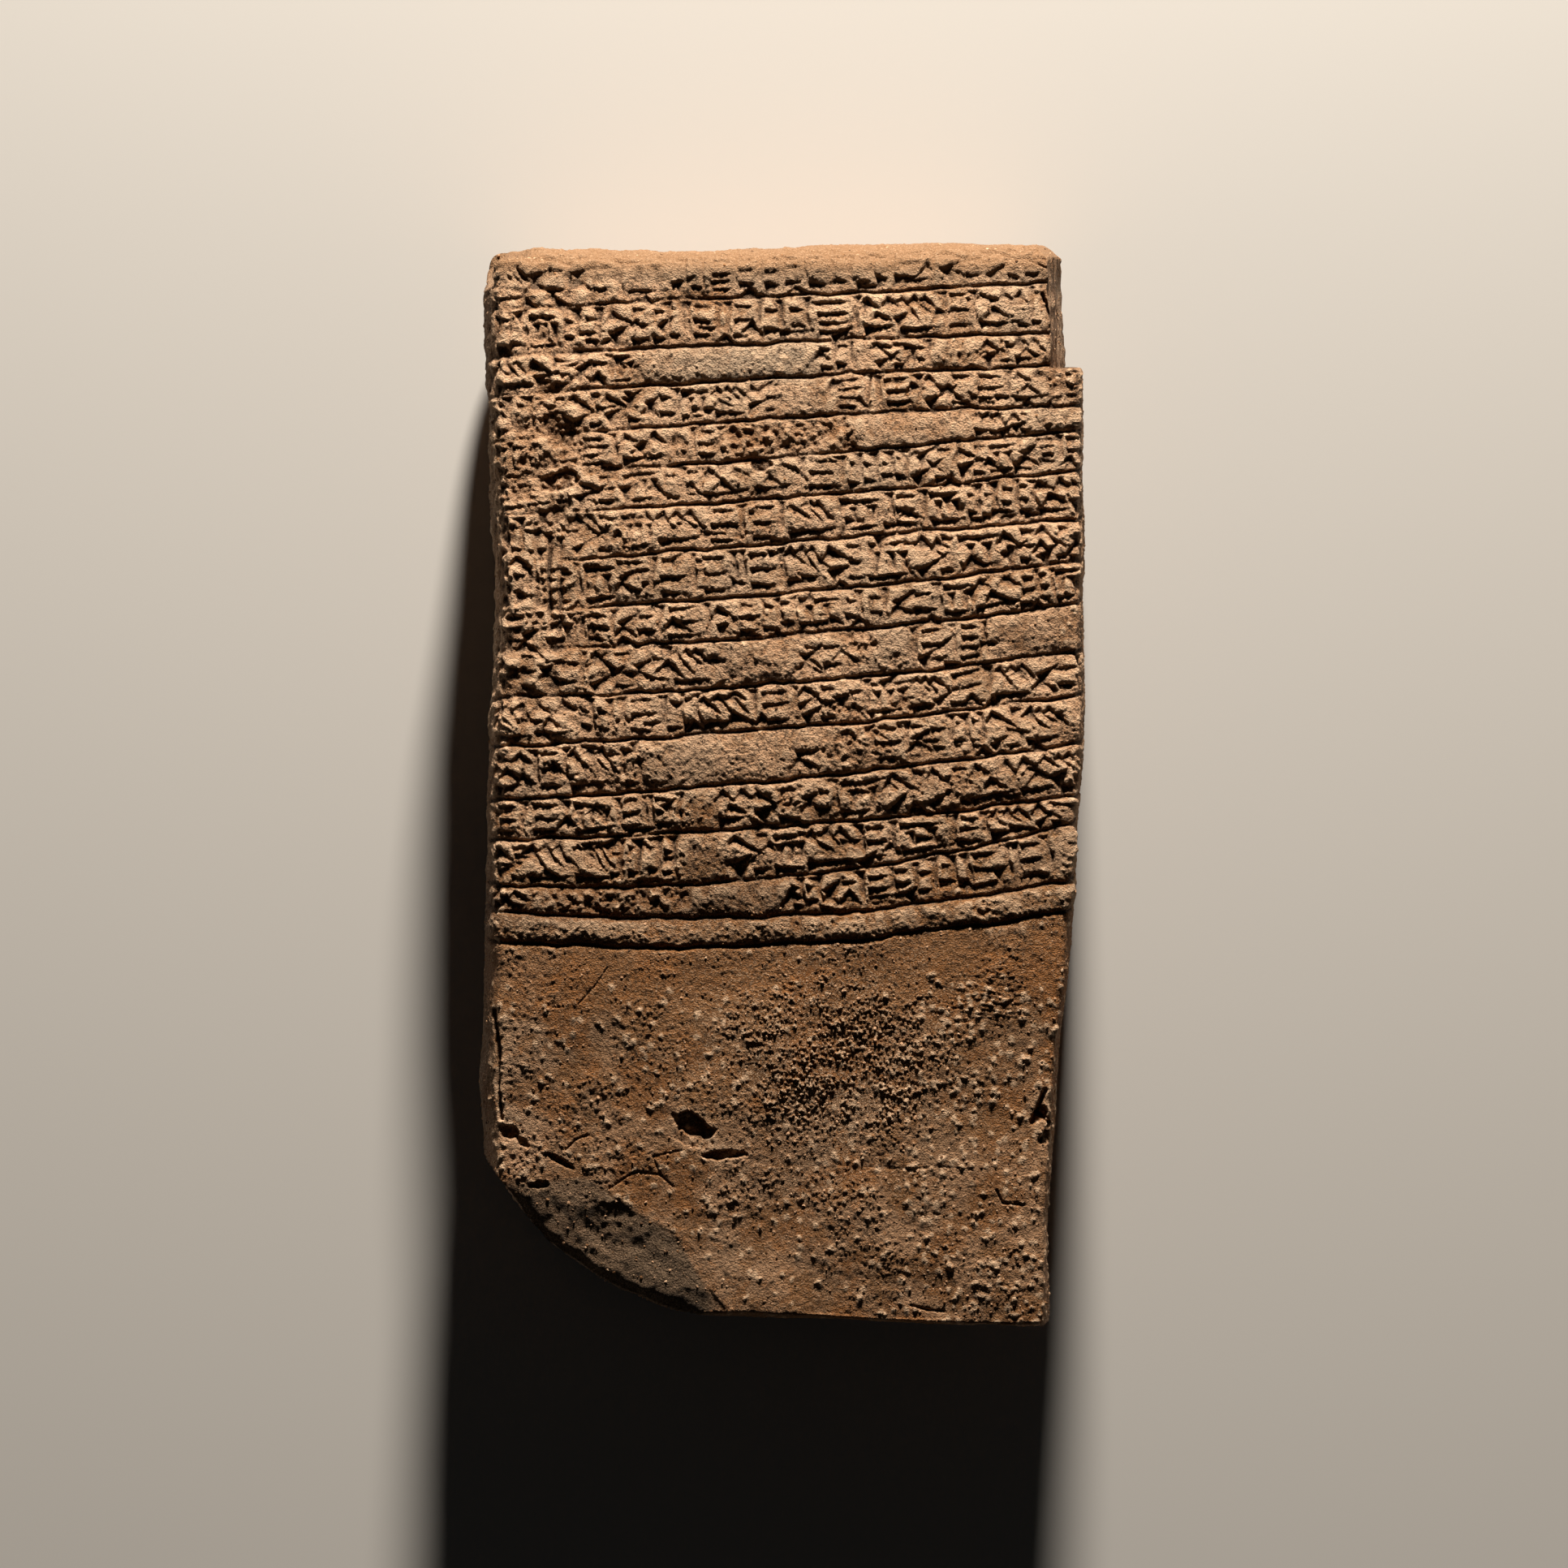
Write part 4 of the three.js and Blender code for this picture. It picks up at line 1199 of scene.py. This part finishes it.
def clay_material(colours):
    """Buff clay, stained, crusted in the middle of the blank field, with earth and painted shade in its
    hollows, wear and painted highlight on its ridges, painted highlight on its pimples, and painted shade
    along its left rim and top edge.
    """
    shader = Shader("weathered_clay")
    hollow, crust, fresh, pimple, damage = (
        shader.attribute(name) for name in ("hollow", "crust", "fresh", "pimple", "damage")
    )
    specks = shader.noise(0.5, 2, 0.6)
    grain = shader.noise(0.22, 2, 0.7)
    split = shader.node("ShaderNodeSeparateXYZ", {0: shader.place})
    across, height, up = (Value(shader, socket) * (1 / MM) for socket in split.outputs)

    # where on the tablet: the face or the sides and back, the blank field, bands of rows
    front = up.ramp(8.0, 17.0)
    field = (1 - height.ramp(-21.0, -15.0)) * front + (1 - height.ramp(-50.0, 30.0)) * (1 - front)
    lower_field = 1 - height.ramp(-52.0, -26.0)
    pale_left = (1 - across.ramp(-30, -14)) * field
    left_rim_shade = 1 - across.ramp(-33.4, -31.2)
    lower_rows = 1 - height.ramp(-16.0, 14.0)
    blank_rows = height.ramp(-19.0, -16.5) - height.ramp(-10.5, -8.5)
    last_row = height.ramp(-27.0, -22.0) - height.ramp(-14.5, -13.0)
    band = height - across * 0.04
    soiled = (band.ramp(-15.6, -14.2) - band.ramp(-11.2, -10.2)) * (1 - across.ramp(-2, 5))
    burnt = height.ramp(43.6, 44.6) - height.ramp(47.6, 48.6)
    burnt = burnt * (across.ramp(-18, -14) - across.ramp(2, 6))
    flake = across.ramp(28.6, 29.4) * height.ramp(45.0, 46.5)

    stain = shader.noise(5, 4, 0.6).ramp(0.46, 0.62) * 0.65 + lower_rows * 0.38
    # Less stain towards the bottom edge: paler there, partly painted light that offsets the key light's
    # falloff.
    stain = stain + field * 0.4 - lower_field * 0.35
    stain = (stain + (blank_rows * 0.5 + last_row * 0.3 - pale_left * 0.4) * front).clamp()
    rust = shader.noise(9, 4, 0.65).ramp(0.5, 0.62) * (0.25 + 0.35 * lower_rows + 0.2 * field)
    rust = (rust + last_row * front * 0.3 + field * 0.12).clamp()
    # Ridges turn pale: partly worn edges, partly a painted highlight where the raking light catches them.
    ridge_wear_and_highlight = ((0.0 - hollow).ramp(0.03, 0.4) * (0.7 - 0.4 * field + crust * 0.6)).clamp()
    colour = shader.layers(
        shader.mix(shader.noise(16, 3).ramp(0.46, 0.62) * 0.4, colours.buff, colours.grey),
        (stain, colours.brown),
        (burnt * front * 0.6, colours.grey),
        (rust, colours.rust),
        (shader.noise(1.4, 3, 0.6).ramp(0.56, 0.68) * (0.35 + 0.3 * field), colours.rust),
        (specks.ramp(0.56, 0.64) * (0.85 - 0.45 * field), colours.dirt_and_shade),
        (shader.noise(0.9, 2, 0.6).ramp(0.62, 0.7) * (0.6 - 0.4 * field), colours.dirt_and_shade),
        # Hollows turn dark: partly earth left in the strokes, partly painted shade that deepens their
        # shadows.
        (hollow.ramp(0.04, 0.5) * (0.92 - 0.47 * field), colours.dirt_and_shade),
        (ridge_wear_and_highlight, colours.salt),
        ((damage * 0.3).clamp(), colours.rust),
        (flake * grain.ramp(0.42, 0.58) * 0.7, colours.dirt_and_shade),
        (soiled.clamp() * front * 0.4, colours.dirt_and_shade),
        # Painted highlight: the pimples are painted pale, standing in for their lit tops.
        (pimple.ramp(0.2, 0.7) * 0.85, colours.salt),
        ((crust * grain.ramp(0.5, 0.6) * 0.7).clamp(), colours.salt),
        (fresh, colours.broken),
        # Painted shade: the left rim turns dark, as it faces away from the light.
        (left_rim_shade * 0.65, colours.dirt_and_shade),
        # Painted shade: greyer and darker along the top edge, toning down the light that its rounding
        # catches.
        (height.ramp(54.0, 57.0) * 0.5, colours.grey),
        (height.ramp(54.5, 57.5) * 0.75, colours.brown),
        (grain.ramp(0.5, 0.68) * 0.35, colours.salt),
    )
    relief = grain * 0.32 + specks * 0.3 + shader.noise(0.14, 2, 0.7) * (crust * 0.3 + 0.14)
    return shader.finish(colour, 0.9, Normal=shader.bump(relief, 1.0))


def floor_material(colour):
    return Shader("studio_floor").finish((*colour, 1.0), 0.85)


# ---- Operators ----
class TABLET_OT_clay(bpy.types.Operator):
    """Model the clay tablet with its rulings, strokes, break and crust"""

    bl_idname = "tablet.clay"
    bl_label = "Clay Tablet"

    def execute(self, context):
        scene = context.scene
        relief_map = face_relief(scene.tablet_writing, scene.tablet_surface)
        material = clay_material(scene.tablet_clay)
        for name, low_line, high_line in SECTIONS:
            piece = clay_section(name, low_line, high_line, relief_map, scene.tablet_surface)
            piece.data.materials.append(material)
            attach(piece, "root")
            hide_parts("tablet")
        return {"FINISHED"}


def pimple_chance(x, y):
    """Pimples crowd the blank field, most of all its right side, and the tablet's rim."""
    at_rim = 0.5 if abs(x) > 30.5 or y > 57 else 0.03
    field = (0.3 + 0.5 * float(ramp(x, 5, 20))) * float(ramp(-y, 19, 24))
    return max(at_rim, field)


def grain_chance(x, y):
    """Fine grains crowd the crust and thin out over the rest."""
    crust = math.exp(-(((x - 5) / 10) ** 2) - ((y + 31) / 10) ** 2)
    return max(crust, 0.16 if y < -19 else 0.07)


class TABLET_OT_grains(bpy.types.Operator):
    """Scatter the mineral pimples and the fine crust grains over the clay"""

    bl_idname = "tablet.grains"
    bl_label = "Mineral Grains"

    def execute(self, context):
        scene = context.scene
        clay = [bpy.data.objects[section[0]] for section in SECTIONS]
        material = grain_material(scene.tablet_clay)
        for name, count, likely, sizes, seed in (
            ("pimples", scene.tablet_surface.pimples, pimple_chance, (0.1, 0.24), 9151),
            ("crust_grains", scene.tablet_surface.grains, grain_chance, (0.07, 0.24), 733),
        ):
            grains = mineral_grains(clay, count, likely, sizes, seed, name)
            grains.data.materials.append(material)
            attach(grains, "root")
        return {"FINISHED"}


def area_light(name, place_at, aim, size, power, colour):
    lamp = bpy.data.lights.new(name, "AREA")
    lamp.shape = "DISK"
    lamp.size = size
    lamp.energy = power
    lamp.color = colour
    light = place(lamp, name)
    light.location = place_at
    light.rotation_euler = (Vector(aim) - Vector(place_at)).to_track_quat("-Z", "Y").to_euler()


class TABLET_OT_stage(bpy.types.Operator):
    """Lay the pale floor and set the lights and the camera"""

    bl_idname = "tablet.stage"
    bl_label = "Studio Stage"

    def execute(self, context):
        scene = context.scene
        stage = scene.tablet_stage
        shape = bmesh.new()
        bmesh.ops.create_grid(shape, x_segments=1, y_segments=1, size=3.0)
        floor = place(as_mesh(shape, "floor"), "floor")
        floor.data.materials.append(floor_material(stage.floor))

        middle = (0.0, 0.0, THICKNESS / 2 * MM)
        key_at, fill_at = (0.035, 0.56, 0.188), (-0.3, -0.5, 0.6)
        area_light("key", key_at, (0.0, 0.0, 0.02), 0.06, stage.key_power, (1.0, 0.92, 0.82))
        area_light("fill", fill_at, middle, 0.6, stage.fill_power, (1.0, 0.96, 0.92))
        world = bpy.data.worlds.new("studio")
        world.use_nodes = True
        world.node_tree.nodes["Background"].inputs["Color"].default_value = (1.0, 0.98, 0.95, 1.0)
        world.node_tree.nodes["Background"].inputs["Strength"].default_value = stage.ambient
        scene.world = world

        camera = bpy.data.cameras.new("camera")
        camera.lens = stage.lens
        camera.sensor_width = 36.0
        camera.clip_end = 10.0
        eye = place(camera, "camera")
        eye.location = (0.0, 0.0, middle[2] + stage.view_width * stage.lens / camera.sensor_width)
        scene.camera = eye
        scene.view_settings.view_transform = "Standard"
        return {"FINISHED"}


class TABLET_PT_panel(bpy.types.Panel):
    """Lists the tablet's settings and operators"""

    bl_idname = "TABLET_PT_panel"
    bl_label = "Cuneiform Tablet"
    bl_space_type = "VIEW_3D"
    bl_region_type = "UI"
    bl_category = "Tablet"

    def draw(self, context):
        for name in SETTINGS:
            box = self.layout.box()
            group = getattr(context.scene, name)
            for prop in group.bl_rna.properties:
                if not prop.is_readonly and prop.identifier != "name":
                    box.prop(group, prop.identifier)
        for operator in OPERATORS:
            self.layout.operator(operator.bl_idname)


SETTINGS = {
    "tablet_writing": WritingSettings,
    "tablet_surface": SurfaceSettings,
    "tablet_clay": ClaySettings,
    "tablet_stage": StageSettings,
}
OPERATORS = (TABLET_OT_clay, TABLET_OT_grains, TABLET_OT_stage)
CLASSES = (*SETTINGS.values(), *OPERATORS, TABLET_PT_panel)


def register():
    for cls in CLASSES:
        bpy.utils.register_class(cls)
    for name, group in SETTINGS.items():
        setattr(bpy.types.Scene, name, bpy.props.PointerProperty(type=group))


def unregister():
    for name in SETTINGS:
        delattr(bpy.types.Scene, name)
    for cls in reversed(CLASSES):
        bpy.utils.unregister_class(cls)


def main():
    register()
    bpy.ops.tablet.clay()
    bpy.ops.tablet.grains()
    bpy.ops.tablet.stage()


if __name__ == "__main__":
    main()
